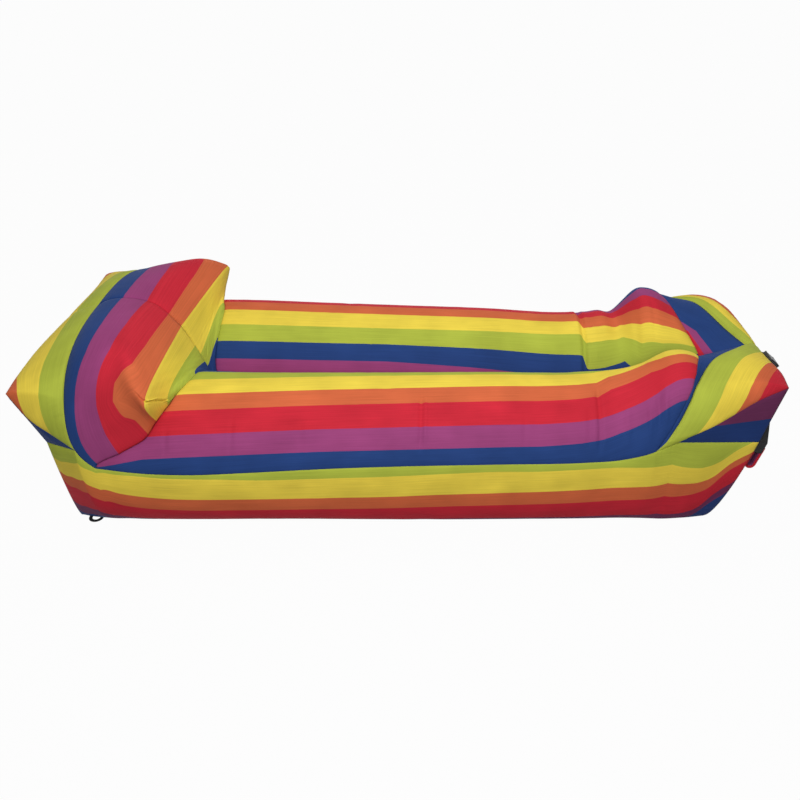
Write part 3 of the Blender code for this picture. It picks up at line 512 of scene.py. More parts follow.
# Cloth colours: all as printed but the last two, which are painted shade
dyes = {
    "blue": (0.020, 0.053, 0.190),
    "purple": (0.305, 0.055, 0.178),
    "red": (0.550, 0.023, 0.041),
    "orange": (0.610, 0.132, 0.051),
    "yellow": (0.790, 0.610, 0.070),
    "green": (0.405, 0.465, 0.056),
    # Darker copies of blue and purple: painted shade for the low, shaded panels, not colours of their own
    "shadedBlue": (0.017, 0.042, 0.160),
    "shadedPurple": (0.140, 0.030, 0.090),
}

# Stripes of each pattern: colour, then the place in metres where the next one starts
patterns = {
    "nearTube": (("blue", 0.044), ("purple", 0.101), ("red", 0.171), ("orange", 0.223), ("yellow", 0.290),
                 ("green", 0.350), ("blue", 0.400), ("purple", 0.450), ("red", 0.60)),
    "farTube": (("blue", 0.115), ("purple", 0.170), ("red", 0.222), ("orange", 0.277), ("yellow", 0.338),
                ("green", 0.393), ("blue", 0.445), ("purple", 0.500), ("red", 0.60)),
    "nearPillow": (("blue", 0.083), ("purple", 0.151), ("red", 0.213), ("orange", 0.250), ("yellow", 0.330),
                   ("green", 0.405), ("blue", 0.60)),
    "farPillow": (("blue", 0.083), ("purple", 0.151), ("red", 0.213), ("orange", 0.250), ("yellow", 0.368),
                  ("green", 0.425), ("blue", 0.60)),
    # Side, gusset, base and roll patterns use the darker copies of blue and purple: painted shade on these low
    # panels
    "side": (("green", 0.100), ("yellow", 0.172), ("orange", 0.222), ("red", 0.298), ("shadedPurple", 0.340),
             ("shadedBlue", 0.60)),
    "headEnd": (("green", 0.062), ("yellow", 0.118), ("orange", 0.60)),
    "nearBand": (("blue", 0.115), ("purple", 0.60)),
    "farBand": (("blue", 0.088), ("purple", 0.111), ("red", 0.60)),
    "nearLobe": (("green", 0.072), ("yellow", 0.134), ("orange", 0.170), ("red", 0.60)),
    "farLobe": (("green", 0.026), ("yellow", 0.060), ("orange", 0.110), ("red", 0.60)),
    "headGusset": (("shadedBlue", 0.085), ("shadedPurple", 0.60)),
    "footGusset": (("shadedBlue", 0.071), ("shadedPurple", 0.60)),
    "base": (("red", 0.08), ("purple", 0.16), ("shadedBlue", 0.24), ("green", 0.30), ("yellow", 0.60)),
    "roll": (("shadedPurple", 0.07), ("red", 0.60)),
    "under": (("green", 0.055), ("yellow", 0.11), ("orange", 0.165), ("red", 0.225), ("purple", 0.28),
              ("blue", 0.335), ("green", 0.39), ("yellow", 0.60)),
}
patternSpan = 0.60

# How far the stripes of each tube slide round it, in metres, along the length
tubeSlideShares = {
    near: (
        (-0.785, -0.040), (-0.720, -0.030), (-0.660, -0.018), (-0.560, -0.012), (-0.400, -0.007),
        (-0.200, -0.002), (0.0, 0.0), (0.370, 0.004), (0.480, 0.010), (0.530, 0.016), (0.580, 0.030),
        (0.630, 0.040), (0.680, 0.050), (0.800, 0.060),
    ),
    far: (
        (-0.785, 0.0), (0.500, 0.0), (0.536, 0.004), (0.548, 0.036), (0.600, 0.038), (0.655, 0.032),
        (0.700, 0.108), (0.755, 0.131), (0.860, 0.137),
    ),
}

# Stripes beyond the start widen: the gain along the length, times the distance beyond it over a given width
stripeGain = {
    near: {
        "start": 0.120,
        "over": 0.090,
        "most": 1.0,
        "gains": (
            (0.530, 0.0), (0.565, 0.019), (0.670, 0.019), (0.697, -0.007), (0.728, -0.024), (0.860, -0.030),
        ),
    },
    far: {
        "start": 0.345,
        "over": 0.040,
        "most": 3.5,
        "gains": (
            (-0.050, 0.0), (0.200, 0.0044), (0.350, 0.0080), (0.505, 0.0118), (0.536, 0.0120),
            (0.548, 0.0165), (0.620, 0.0177), (0.670, 0.0190), (0.720, 0.0166), (0.760, 0.0),
        ),
    },
}

# Pillow stripes: their places at the nine stations, and how they lean towards the back seam beside the tube,
# as slides for some of those places, across from the crease
pillowStripes = {
    "stations": (0, 0.044, 0.099, 0.178, 0.25, 0.338, 0.394, 0.45, 0.572),
    "length": 0.45,
    "places": (0.0, 0.044, 0.099, 0.160, 0.250),
    "across": (0.0, 0.10, 0.17, 0.25, 0.40, 0.60, 0.80),
    "slides": (
        (0.045, 0.045, 0.043, 0.039, 0.028, 0.010, 0.0),
        (0.045, 0.045, 0.043, 0.039, 0.028, 0.010, 0.0),
        (0.052, 0.057, 0.055, 0.052, 0.034, 0.010, 0.0),
        (0.028, 0.040, 0.062, 0.075, 0.046, 0.012, 0.0),
        (0.0, 0.0, 0.0, 0.0, 0.0, 0.0, 0.0),
    ),
}

# Head end stripes draw apart along the ridge beside the ear
headEndSlide = {"steps": (4.0, 5.0, 6.0, 10.0), "slides": (0.0, 0.039, 0.055, 0.050), "width": 0.17}

# Small ripples of the head end beside the ear: how high and long they are, and where they are strongest
headEndRipple = {
    "height": 0.0022,
    "length": 0.030,
    "slant": 5,
    "out": 0.035,
    "outReach": 0.022,
    "step": 3.4,
    "stepReach": 1.3,
}

farBandShift = {"by": 0.05, "until": 0.44, "over": 0.08}      # how far up the far foot band stays blue

# Finish of the printed cloth
clothLook = {
    "threads": (6.0, 420.0, 1.0),       # fine threads, drawn out along the stripes
    "threadDetail": 3.0,
    "weave": (900.0, 1300.0, 1.0),
    "patches": 9.0,
    "noiseRange": (0.6, 1.4),
    "tones": (0.83, 1.17),
    "bump": 0.25,
    "bumpDepth": 0.0006,
    "roughness": 0.62,
    "specular": 0.04,
    "sheen": 0.01,
    "sheenRoughness": 0.45,
}


# Fills a shader node's inputs, each with a value or with another node's output.
def feed(tree, node, inputs):
    for name, value in inputs.items():
        if isinstance(value, bpy.types.NodeSocket):
            tree.links.new(value, node.inputs[name])
        else:
            node.inputs[name].default_value = value


# Output of a new shader node.
def shade(tree, kind, output, inputs, **settings):
    node = tree.nodes.new("ShaderNode" + kind)
    for name, value in settings.items():
        setattr(node, name, value)
    feed(tree, node, inputs)
    return node.outputs[output]


def noise(tree, vector, scale, detail=2.0):
    return shade(tree, "TexNoise", "Fac", {"Vector": vector, "Scale": scale, "Detail": detail})


def newMaterial(name):
    material = bpy.data.materials.new(name)
    material.use_nodes = True
    return material, material.node_tree, material.node_tree.nodes["Principled BSDF"]


# Printed polyester: the stripes are read off v, with fine threads drawn out along u, a tight weave in the
# bump, slow unevenness of the dye and a soft sheen.
def stripedCloth(name, stripes):
    material, tree, shader = newMaterial(name)
    uv = shade(tree, "UVMap", "UV", {}, uv_map="cloth")
    v = shade(tree, "SeparateXYZ", "Y", {"Vector": uv})
    ramp = tree.nodes.new("ShaderNodeValToRGB")
    feed(tree, ramp, {"Fac": shade(tree, "Math", 0, {0: v, 1: patternSpan}, operation="DIVIDE")})
    ramp.color_ramp.interpolation = "CONSTANT"
    elements = ramp.color_ramp.elements
    elements.remove(elements[1])
    elements[0].position = 0.0
    elements[0].color = (*dyes[stripes[0][0]], 1.0)
    for (colour, end), (after, _) in zip(stripes, stripes[1:]):
        elements.new(end / patternSpan).color = (*dyes[after], 1.0)

    threads = noise(tree, shade(tree, "Mapping", 0, {"Vector": uv, "Scale": clothLook["threads"]}), 1.0,
                    clothLook["threadDetail"])
    both = shade(tree, "Math", 0, {0: threads, 1: noise(tree, uv, clothLook["patches"])}, operation="ADD")
    tone = shade(tree, "MapRange", "Result", {
        "Value": both,
        "From Min": clothLook["noiseRange"][0],
        "From Max": clothLook["noiseRange"][1],
        "To Min": clothLook["tones"][0],
        "To Max": clothLook["tones"][1],
    })
    dyed = shade(tree, "VectorMath", "Vector", {0: ramp.outputs["Color"], "Scale": tone}, operation="SCALE")

    weave = noise(tree, shade(tree, "Mapping", 0, {"Vector": uv, "Scale": clothLook["weave"]}), 1.0)
    raised = shade(tree, "Math", 0, {0: weave, 1: threads}, operation="ADD")
    bump = {"Height": raised, "Strength": clothLook["bump"], "Distance": clothLook["bumpDepth"]}
    feed(tree, shader, {
        "Base Color": dyed,
        "Normal": shade(tree, "Bump", "Normal", bump),
        "Roughness": clothLook["roughness"],
        "Specular IOR Level": clothLook["specular"],
        "Sheen Weight": clothLook["sheen"],
        "Sheen Roughness": clothLook["sheenRoughness"],
    })
    return material


# Kinks, faint folds and puckers of the near and far tube: place along X, spread, depth, and the angles
# between which each runs
kinks = {
    near: (
        (0.527, 0.0045, -0.0070, 22.0, 80.0), (0.500, 0.005, -0.0032, 26.0, 62.0),
        (0.600, 0.006, 0.0034, 24.0, 60.0), (0.655, 0.005, 0.0050, 24.0, 60.0),
        (0.676, 0.004, -0.0056, 26.0, 64.0), (0.694, 0.004, 0.0050, 28.0, 66.0),
        (0.060, 0.0042, -0.0052, 24.0, 78.0), (0.072, 0.0036, 0.0034, 26.0, 74.0),
        (-0.430, 0.0045, -0.0034, 22.0, 58.0), (-0.600, 0.0045, -0.0034, 22.0, 50.0),
        (-0.250, 0.0055, -0.0024, 24.0, 56.0), (0.330, 0.005, -0.0024, 26.0, 56.0),
    ),
    far: (
        (0.541, 0.0055, -0.0130, 58.0, 179.0), (0.575, 0.006, 0.0026, 90.0, 150.0),
        (0.690, 0.005, -0.0030, 110.0, 160.0), (0.735, 0.005, -0.0026, 100.0, 150.0),
        (-0.100, 0.006, -0.0014, 100.0, 150.0), (0.220, 0.005, -0.0016, 110.0, 160.0),
    ),
}
kinkForm = {"fade": 12.0, "besideWidth": 3, "besideDepth": 0.35}


# Bell curve: 1 in the middle, exp(-z * z / 2) beside it.
def bell(z):
    return np.exp(-0.5 * z ** 2)


# Groove or ridge across a tube: a bell curve along X less a wider, shallower one, faded at both angles.
def kinkDepth(side, x, angle):
    depth = 0.0 * x
    for place, width, deep, low, high in kinks[side]:
        start = np.clip((angle - low) / kinkForm["fade"], 0, 1)
        end = np.clip((high - angle) / kinkForm["fade"], 0, 1)
        off = (x - place) / width
        beside = kinkForm["besideDepth"] * bell(off / kinkForm["besideWidth"])
        depth = depth + start * end * deep * (bell(off) - beside)
    return depth


# Tuck in the near pillow's lip: where it runs, as rows and shares across, a groove with a ridge above it
tuck = {
    "rows": (3.70, 3.94, 4.36, 4.79, 5.13),
    "across": (0.365, 0.371, 0.337, 0.233, 0.043),
    "width": 0.010,
    "groove": 0.0060,
    "ridge": 0.0045,
    "ridgeOff": 2,
    "fade": 0.25,
    "overrun": 0.15,
}


# Bell curves across the line of the tuck, faded out at both ends of it.
def tuckDepth(rows, columns):
    off = (columns - np.interp(rows, tuck["rows"], tuck["across"])) / tuck["width"]
    start = np.clip((rows - tuck["rows"][0]) / tuck["fade"], 0, 1)
    end = np.clip((tuck["rows"][-1] + tuck["overrun"] - rows) / tuck["fade"], 0, 1)
    return start * end * (tuck["ridge"] * bell(off - tuck["ridgeOff"]) - tuck["groove"] * bell(off))


# Metres that each run of a grid spans, cut into cells, and the columns of the base
gridRuns = {
    "lowRows": 0.21,        # from the side seam up to the ear
    "topRows": 0.40,        # from the ear to the middle
    "tube": 1.38,
    "earAcross": 0.20,
    "middleAcross": 0.34,
    "end": 0.16,
    "lobe": 0.17,
    "band": 0.05,
    "wall": 0.30,
    "baseColumns": 48,
}
tiny = 1e-9

# Grid places that neighbouring panels share, so that their edges meet
earShare = headEnd["steps"][headEnd["ear"]]
tipShare = headEnd["steps"][headEnd["tip"]]
rowPlaces = np.concatenate([spread(0.0, footEnd["ear"], gridRuns["lowRows"]),
                            spread(footEnd["ear"], stations[-1], gridRuns["topRows"])[1:]])
acrossShares = np.unique(np.concatenate([spread(0.0, earShare, gridRuns["earAcross"]),
                                         spread(earShare, 1.0, gridRuns["middleAcross"]), headEnd["steps"]]))
tubeShare = spread(0.0, 1.0, gridRuns["tube"])
endShare = spread(0.0, 1.0, gridRuns["end"])
wallShare = spread(0.0, 1.0, gridRuns["wall"])
headSteps = np.interp(acrossShares[acrossShares >= tipShare - tiny],
                      headEnd["steps"], np.arange(len(headEnd["steps"])))
headGussetSteps = headSteps[headSteps <= headEnd["ear"] + tiny]
headRidgeSteps = headSteps[headSteps >= headEnd["ear"] - tiny]
headRun = (headStep(headRidgeSteps) - earShare) / (1 - earShare)
footGussetRows = rowPlaces[rowPlaces <= footEnd["ear"]]
footRidgeRows = rowPlaces[rowPlaces >= footEnd["ear"]]
footRun = (footRidgeRows - footEnd["ear"]) / (stations[-1] - footEnd["ear"])


# Straight run through a table of places and values.
def valueAt(table, x):
    return np.interp(x, *np.array(table).T)


# Tube panel: the tube's skin between its two creases. Its stripes lie at the angle times the girth, less the
# slide, and past the start of the gain they widen by it.
def tubeGrid(side, seed):
    rows, columns = np.meshgrid(rowPlaces, tubeShare, indexing="ij")
    head, foot = (smoothRun(stations, shares, rows) for shares in (headCreaseShares, footCreaseShares))
    share = blend(head, foot, columns)
    x = share * shape["halfLength"]
    angle = stationAngle(rows) - along(seamDropShares, x) * np.clip(1 - rows, 0, 1)
    tube = tubePoint(side, x, angle)
    stripe = np.radians(stationAngle(rows) - stationAngles[0]) * shape["tubeGirth"]
    stripe = stripe - valueAt(tubeSlideShares[side], share)
    gain = stripeGain[side]
    past = np.clip((stripe - gain["start"]) / gain["over"], 0, gain["most"])
    stripe = stripe - valueAt(gain["gains"], share) * past
    return tube, [panel(tube, side, x, stripe, seed, extra=kinkDepth(side, x, angle))]


# Pillow panel: its stripes lie at the row's place and slide beside the tube, by a share of each listed slide.
def pillowGrid(side, seed):
    rows, columns = np.meshgrid(rowPlaces, acrossShares, indexing="ij")
    stripe = np.interp(rows, stations, pillowStripes["stations"])
    shares = np.eye(len(pillowStripes["places"]))
    stripe = stripe + sum(
        np.interp(stripe, pillowStripes["places"], share) * np.interp(columns, pillowStripes["across"], slides)
        for share, slides in zip(shares, pillowStripes["slides"])
    )
    folded = tuckDepth(rows, columns) if side == near else 0.0
    cushion = pillowPoint(side, rows, columns)
    return [panel(cushion, side, columns * pillowStripes["length"], stripe, seed + 1, extra=folded)]


# Head end panel: arcs from the pillow's seam to the outer edge, swollen outwards. Its stripes lie at the
# distance from the seam, less a share of its square beside the ear, where small ripples run.
def headEndGrid(side, seed):
    start = pillowPoint(side, np.zeros_like(headSteps), headStep(headSteps))
    end = headEdge(side, headSteps)
    swell = np.interp(headSteps - headEnd["tip"], np.arange(len(headEnd["swell"])), headEnd["swell"])[:, None]
    bend = (start + end) / 2 + swell * shape["headEndSwell"] * np.array(headEnd["swellWay"])
    face = arcSheet(start, bend, end, 1.0, endShare)
    run, out = arcLength(face, 0), arcLength(face, 1)
    apart = np.interp(headSteps, headEndSlide["steps"], headEndSlide["slides"])[:, None]
    stripe = out - apart * (out / headEndSlide["width"]) ** 2
    form = headEndRipple
    fade = (np.exp(-((out - form["out"]) / form["outReach"]) ** 2)
            * np.exp(-((headSteps[:, None] - form["step"]) / form["stepReach"]) ** 2))
    ripples = form["height"] * wave(run / form["length"] + out * form["slant"], seed) * fade
    return [panel(face, side, run, stripe, seed + 2, gather=(1, 0, 1, 1), extra=ripples)]


# Gusset: straight lines from the outer edge down to its foot, with stripes level with the ground.
def gussetGrid(side, end, edge, foot, seed):
    sheet = straight(edge, foot, endShare)
    rise = sheet[..., 2] - end["fold"][0][2] * shape["backHeight"]
    return [panel(sheet, side, arcLength(sheet, 0), rise, seed, puff=cloth["gussetPuff"])]


# Underside of an end: arcs from the ridge down to the fold, hollow by half a sine, then arcs from the fold to
# the ground. Its stripes lie at the distance down from the ridge.
def underGrids(side, end, top, run, inwards, seed):
    fold, pull, ground = (across(end[part], run) for part in ("fold", "pull", "ground"))
    bend = (top + fold) / 2
    bend[:, 0] += inwards * shape["flapHollow"] * np.sin(np.pi * np.minimum(run, 0.5))
    flap = arcSheet(top, bend, fold, 1.0, endShare)
    wall = arcSheet(fold, pull, ground, shape["wallPull"], wallShare)
    wall[0] = sideColumns(fold[:1], wallShare)[0]
    down = arcLength(flap, 1)
    return wall, [
        panel(flap, side, arcLength(flap, 0), down, seed, gather=(1, 0, 1, 1)),
        panel(wall, side, arcLength(wall, 0), down[:, -1:] + arcLength(wall, 1), seed + 1, gather=(1, 0, 1, 0)),
    ]


# Foot band: straight lines from the tube's crease to the foot seam, with stripes along that seam.
def bandGrid(side, seed):
    seam = footSeam(side, rowPlaces)
    band = straight(crease(footCreaseShares, side, rowPlaces), seam, spread(0.0, 1.0, gridRuns["band"]))
    run, back = arcLength(band, 0), arcLength(band, 1)
    stripe = back[:, -1:] - back
    if side == far:
        low = np.clip((farBandShift["until"] - run) / farBandShift["over"], 0, 1)
        stripe = stripe - farBandShift["by"] * low
    return [panel(band, side, run, stripe, seed + 6, puff=cloth["bandPuff"])]


# Foot lobe: arcs from the foot seam to the outer edge, swollen at each station, with stripes along the seam.
def lobeGrid(side, seed):
    start, end = footSeam(side, rowPlaces), footEdge(side, rowPlaces)
    bend = (start + end) / 2 + smoothRun(stations, footEnd["swell"], rowPlaces) * shape["lobeSwell"]
    lobe = arcSheet(start, bend, end, 1.0, spread(0.0, 1.0, gridRuns["lobe"]))
    return lobe, [panel(lobe, side, arcLength(lobe, 0), arcLength(lobe, 1), seed + 7)]


# Along the length: pattern place at the top edge of the side panel, and the gain below the green stripe
sideStripeShares = (
    (-0.938, 0.054, 0.042), (-0.905, 0.047, 0.033), (-0.875, 0.053, 0.029), (-0.850, 0.056, 0.021),
    (-0.825, 0.064, 0.017), (-0.805, 0.080, 0.018), (-0.780, 0.089, 0.022), (-0.735, 0.090, 0.012),
    (-0.690, 0.092, 0.006), (-0.600, 0.090, 0.003), (-0.500, 0.088, 0.002), (-0.350, 0.077, 0.006),
    (-0.200, 0.073, 0.004), (0.0, 0.072, 0.002), (0.120, 0.076, 0.002), (0.250, 0.080, 0.0),
    (0.370, 0.079, 0.004), (0.500, 0.082, 0.004), (0.580, 0.080, 0.006), (0.650, 0.062, 0.008),
    (0.700, 0.042, 0.008), (0.740, 0.028, 0.014), (0.790, 0.020, 0.024), (0.830, 0.022, 0.029),
    (0.870, 0.042, 0.031), (0.900, 0.074, 0.046), (0.955, 0.110, 0.060),
)
sideGain = {"start": 0.10, "over": 0.07}


# Side panel: columns down from the lower edges of the other panels. Its stripes lie at the pattern's place at
# the top edge plus the distance down from it, and the gain is added below the green stripe.
def sideGrid(side, tube, lobe, headWall, footWall, seed):
    seam = acrossShares[acrossShares <= tipShare + tiny]
    tops = np.vstack([
        headGussetFoot(side, headGussetSteps)[::-1],
        pillowPoint(side, np.zeros_like(seam), seam)[::-1][1:],
        tube[0][1:],
        lobe[0][1:],
        footGussetFoot(side, footGussetRows)[1:],
    ])
    skirt = sideColumns(tops, wallShare)
    skirt[0] = headWall[0]
    skirt[-1] = footWall[0]
    places, starts, gains = np.array(sideStripeShares).T
    x = skirt[:, 0, 0] / shape["halfLength"]
    stripe = smoothRun(places, starts, x)[:, None] + arcLength(skirt, 1)
    below = np.clip((stripe - sideGain["start"]) / sideGain["over"], 0, 1)
    stripe = stripe + smoothRun(places, gains, x)[:, None] * below
    return skirt, [panel(skirt, side, tops[:, :1], stripe, seed + 11, gather=(1, 1, 1, 0))]


# Base: flat where the tubes stand, raised between them by an arch that falls with the fourth power of the
# share along the length and the square of the share across, and level along both end walls.
def baseGrid(side, corner):
    x, y = corner[:, :1], corner[:, 1:2]
    headX, footX = (end["ground"][0][0] * shape["halfLength"] for end in (headEnd, footEnd))
    headFlare, footFlare = (end["ground"][1][0] / end["ground"][0][0] - 1 for end in (headEnd, footEnd))
    m = np.linspace(0.0, 1.0, gridRuns["baseColumns"])
    headM, footM = (np.interp(m, np.linspace(0, 1, len(run)), run) for run in (headRun, footRun))
    out = 1 - blend(headM, footM, (x - headX) / (footX - headX))
    arch = shape["undersideHeight"] * (1 - (x / np.where(x < 0, headX, footX)) ** 4)
    lift = arch * np.clip(1 - (out / shape["flatShare"]) ** 2, 0, None)
    flare = np.where(x < 0, headFlare, footFlare)
    base = np.stack([x * (1 + flare * (1 - out)), side * y * out, lift], -1)
    return [(base, paired(base[..., 0], np.abs(base[..., 1])), outward(base, side)[1])]


coverSeeds = {near: 1.0, far: 5.0}


# Every panel of one half of the cover.
def halfCover(side):
    seed = coverSeeds[side]
    tube, tubePanel = tubeGrid(side, seed)
    lobe, lobePanel = lobeGrid(side, seed)
    headWall, headUnder = underGrids(side, headEnd, headEdge(side, headRidgeSteps), headRun, 1, seed + 4)
    footWall, footUnder = underGrids(side, footEnd, footEdge(side, footRidgeRows), footRun, -1, seed + 9)
    skirt, sidePanel = sideGrid(side, tube, lobe, headWall, footWall, seed)
    headEdges = headEdge(side, headGussetSteps), headGussetFoot(side, headGussetSteps)
    footEdges = footEdge(side, footGussetRows), footGussetFoot(side, footGussetRows)
    return {
        "tube": tubePanel,
        "pillow": pillowGrid(side, seed),
        "headEnd": headEndGrid(side, seed),
        "headGusset": gussetGrid(side, headEnd, *headEdges, seed + 3),
        "headUnder": headUnder,
        "band": bandGrid(side, seed),
        "lobe": lobePanel,
        "footGusset": gussetGrid(side, footEnd, *footEdges, seed + 8),
        "footUnder": footUnder,
        "side": sidePanel,
        "base": baseGrid(side, skirt[:, -1]),
    }


covers = {side: halfCover(side) for side in (near, far)}
print("cover surfaces worked out")

# Panel, name, node, and the pattern of its near and far copies
halfPanels = (
    ("tube", "TubePanel", "tube_panel", ("nearTube", "farTube")),
    ("pillow", "PillowPanel", "pillow_panel", ("nearPillow", "farPillow")),
    ("headGusset", "HeadGusset", "head_gusset", ("headGusset", "headGusset")),
    ("band", "FootBand", "foot_band", ("nearBand", "farBand")),
    ("lobe", "FootLobe", "foot_lobe", ("nearLobe", "farLobe")),
    ("footGusset", "FootGusset", "foot_gusset", ("footGusset", "footGusset")),
    ("side", "SidePanel", "side_panel", ("side", "side")),
)
wholePanels = (
    ("headEnd", "headEndPanel", "head_end_panel", "headEnd"),
    ("headUnder", "headUnderPanel", "head_under_panel", "under"),
    ("footUnder", "footUnderPanel", "foot_under_panel", "under"),
    ("base", "basePanel", "base_panel", "base"),
)
fabrics = {name: stripedCloth(name + "Stripes", stripes) for name, stripes in patterns.items()}


# Cloth piece: its grids joined and given a thickness, in the fabric named.
def dress(name, grids, fabric, node, thickness=cloth["thickness"]):
    return standIn(gridPiece(name, grids, fabrics[fabric], thickness), node)


for key, name, node, pair in halfPanels:
    for side, word, fabric in ((near, "near", pair[0]), (far, "far", pair[1])):
        dress(word + name, covers[side][key], fabric, word + "_" + node)
for key, name, node, fabric in wholePanels:
    dress(name, covers[near][key] + covers[far][key], fabric, node)
print("cover panels made")

# Air liners: clear film bags, drawn in from the cover so that its folds stay clear of them
liner = {
    "shrink": 0.86,
    "crumple": 0.0015,
    "crumpleRates": (9, 7),
    "core": {"head": -0.72, "foot": 0.66, "out": 0.20, "height": 0.19},
    "colour": (0.80, 0.82, 0.84),
    "roughness": (0.18, 0.42),
    "clearness": 0.35,
    "coat": 0.3,
    "haze": 14.0,
    "hazeDetail": 4.0,
    "bump": 0.4,
    "bumpDepth": 0.002,
    "fill": 1.0,
}


# Clear film: cloudy roughness and bumps from one noise on Object coordinates.
def filmMaterial():
    material, tree, shader = newMaterial("linerFilm")
    haze = noise(tree, shade(tree, "TexCoord", "Object", {}), liner["haze"], liner["hazeDetail"])
    low, high = liner["roughness"]
    feed(tree, shader, {
        "Base Color": (*liner["colour"], 1.0),
        "Transmission Weight": liner["clearness"],
        "Coat Weight": liner["coat"],
        "Roughness": shade(tree, "MapRange", "Result", {"Value": haze, "To Min": low, "To Max": high}),
        "Normal": shade(tree, "Bump", "Normal", {
            "Height": haze, "Strength": liner["bump"], "Distance": liner["bumpDepth"],
        }),
    })
    return material


# The liner's own solid, each point drawn towards the tube's middle line by a share that a wave crumples.
def addLiner(name, node, side, material):
    mesh = nodes[node].data.copy()
    mesh.name = name
    rework(mesh, mergeDoubles)
    points = np.zeros(len(mesh.vertices) * 3, np.float32)
    mesh.vertices.foreach_get("co", points)
    points = points.reshape(-1, 3).astype(float)
    core = coreOf(points, side, liner["core"])
    rates = liner["crumpleRates"]
    crumple = wave(points[:, 0] * rates[0] + points[:, 2] * rates[1], side)
    share = liner["shrink"] + liner["crumple"] / shape["tubeGirth"] * crumple
    points = core + (points - core) * share[:, None]
    mesh.vertices.foreach_set("co", points.astype(np.float32).ravel())
    mesh.materials.clear()
    mesh.materials.append(material)
    piece = addObject(name, mesh)
    rounded = piece.modifiers.new("rounded", "SUBSURF")
    rounded.levels = rounded.render_levels = 1
    standIn(piece, node)
    return piece


film = filmMaterial()
nearLiner = addLiner("nearLiner", "near_liner", near, film)
farLiner = addLiner("farLiner", "far_liner", far, film)
print("liners made")

# Rolled mouth: a flattened spiral of cloth round the two strips, under the fold of the foot end
roll = {
    "radius": 0.016,
    "depth": 0.088,
    "halfLength": 0.285,
    "drop": 0.018,
    "gap": 0.0003,
    "inner": 0.0056,
    "turns": 5,
    "sheet": 0.0009,
    "ripple": 0.0006,
    "rippleLength": 0.06,
    "rippleTurns": 0.7,
    "rippleFade": 0.02,
    "seed": 2.0,
    "patternShare": 0.35,
    "turnCells": 44,
    "lengthCells": 114,
}


# Top of the roll under the fold, with the directions out of and down the foot end's wall.
def rollFrame():
    fold = np.array(footEnd["fold"][1]) * whole
    down = np.array(footEnd["pull"][1]) * whole - fold
    down = down / np.linalg.norm(down)
    out = np.cross((0.0, 1.0, 0.0), down)
    out = out / np.linalg.norm(out) * np.sign(out[0])
    return fold + down * roll["drop"] + out * (roll["radius"] + roll["gap"]), out, down


# Flattened spiral: a stadium path, two half circles and two straight runs, whose radius grows evenly with the
# turns, carried along the roll's length, with slow ripples on the outer turns.
def rollGrid():
    top, out, down = rollFrame()
    level = roll["depth"] - 2 * roll["radius"]
    turn = np.linspace(0.0, roll["turns"], roll["turns"] * roll["turnCells"] + 1)
    radius = roll["inner"] + (roll["radius"] - roll["sheet"] / 2 - roll["inner"]) * turn / roll["turns"]
    bowed = np.pi * radius
    lap = (turn % 1.0) * (2 * level + 2 * bowed)
    angle = (np.clip(lap, 0, bowed) + np.clip(lap - bowed - level, 0, bowed)) / radius
    slide = np.clip(lap - bowed, 0, level) - np.clip(lap - 2 * bowed - level, 0, level)
    y = np.linspace(-roll["halfLength"], roll["halfLength"], roll["lengthCells"] + 1)
    share = turn[:, None] / roll["turns"]
    rippled = wave(y / roll["rippleLength"] + turn[:, None] * roll["rippleTurns"], roll["seed"])
    inside = np.clip((roll["halfLength"] - np.abs(y)) / roll["rippleFade"], 0, 1)
    ripple = roll["ripple"] * rippled * share ** 2 * inside
    reach = radius[:, None] + np.minimum(ripple, 0.0)
    proud = np.cos(angle)[:, None] * reach
    low = slide[:, None] - np.sin(angle)[:, None] * reach
    points = top + out * proud[..., None] + down * low[..., None] + np.array((0.0, 1.0, 0.0)) * y[:, None]
    around = np.concatenate([[0.0], np.cumsum(np.hypot(np.diff(slide), np.diff(angle) * radius[1:]))])
    return points, paired(y, around[:, None] * roll["patternShare"]), True


rollPiece = dress("mouthRoll", [rollGrid()], "roll", "mouth_roll", roll["sheet"])

# Black webbing: its sizes, how its grids are cut, and its finish
webbing = {
    "width": 0.025,
    "thickness": 0.0016,
    "hem": 0.030,
    "tail": 0.022,
    "tailShares": ((1.0, 0.0), (0.55, 0.1), (0.28, 0.55), (0.13, 0.93)),   # along the tail, and up to the bar
    "barPoints": 13,
    "leadSteps": 6,
    "hemShare": 0.15,
    "cell": 0.001,
    "easing": 3,
    "ringCells": 32,
    "squareness": (0.35, 0.45),
    "rib": 0.0016,
    "ribShare": 0.314,
    "pickRatio": 1.4,
    "wander": 0.6,
    "dark": (0.004, 0.004, 0.005, 1.0),
    "light": (0.014, 0.014, 0.016, 1.0),
    "bump": 0.8,
    "bumpDepth": 0.0005,
    "roughness": 0.66,
    "specular": 0.25,
    "sheen": 0.06,
}

# Where the buckle lies on the foot ridge, leaning by an angle in degrees, and where its two bars are
buckle = {
    "reach": 0.0182,
    "side": -0.055,
    "lift": 0.0018,
    "lean": -50.0,
    "barRadius": 0.0018,
    "barOffset": 0.0060,
    "socketBack": -0.0225,
    "clipBack": 0.0125,
}

# Stake loop: its place along the side, its reach from the panel's foot, and the middle line of its bend
stakeLoop = {
    "placeShare": -0.865,
    "reach": 0.030,
    "radius": 0.016,
    "halfWidth": 0.021,
    "gap": 0.0033,
    "band": 0.010,
    "bendPoints": 25,
}


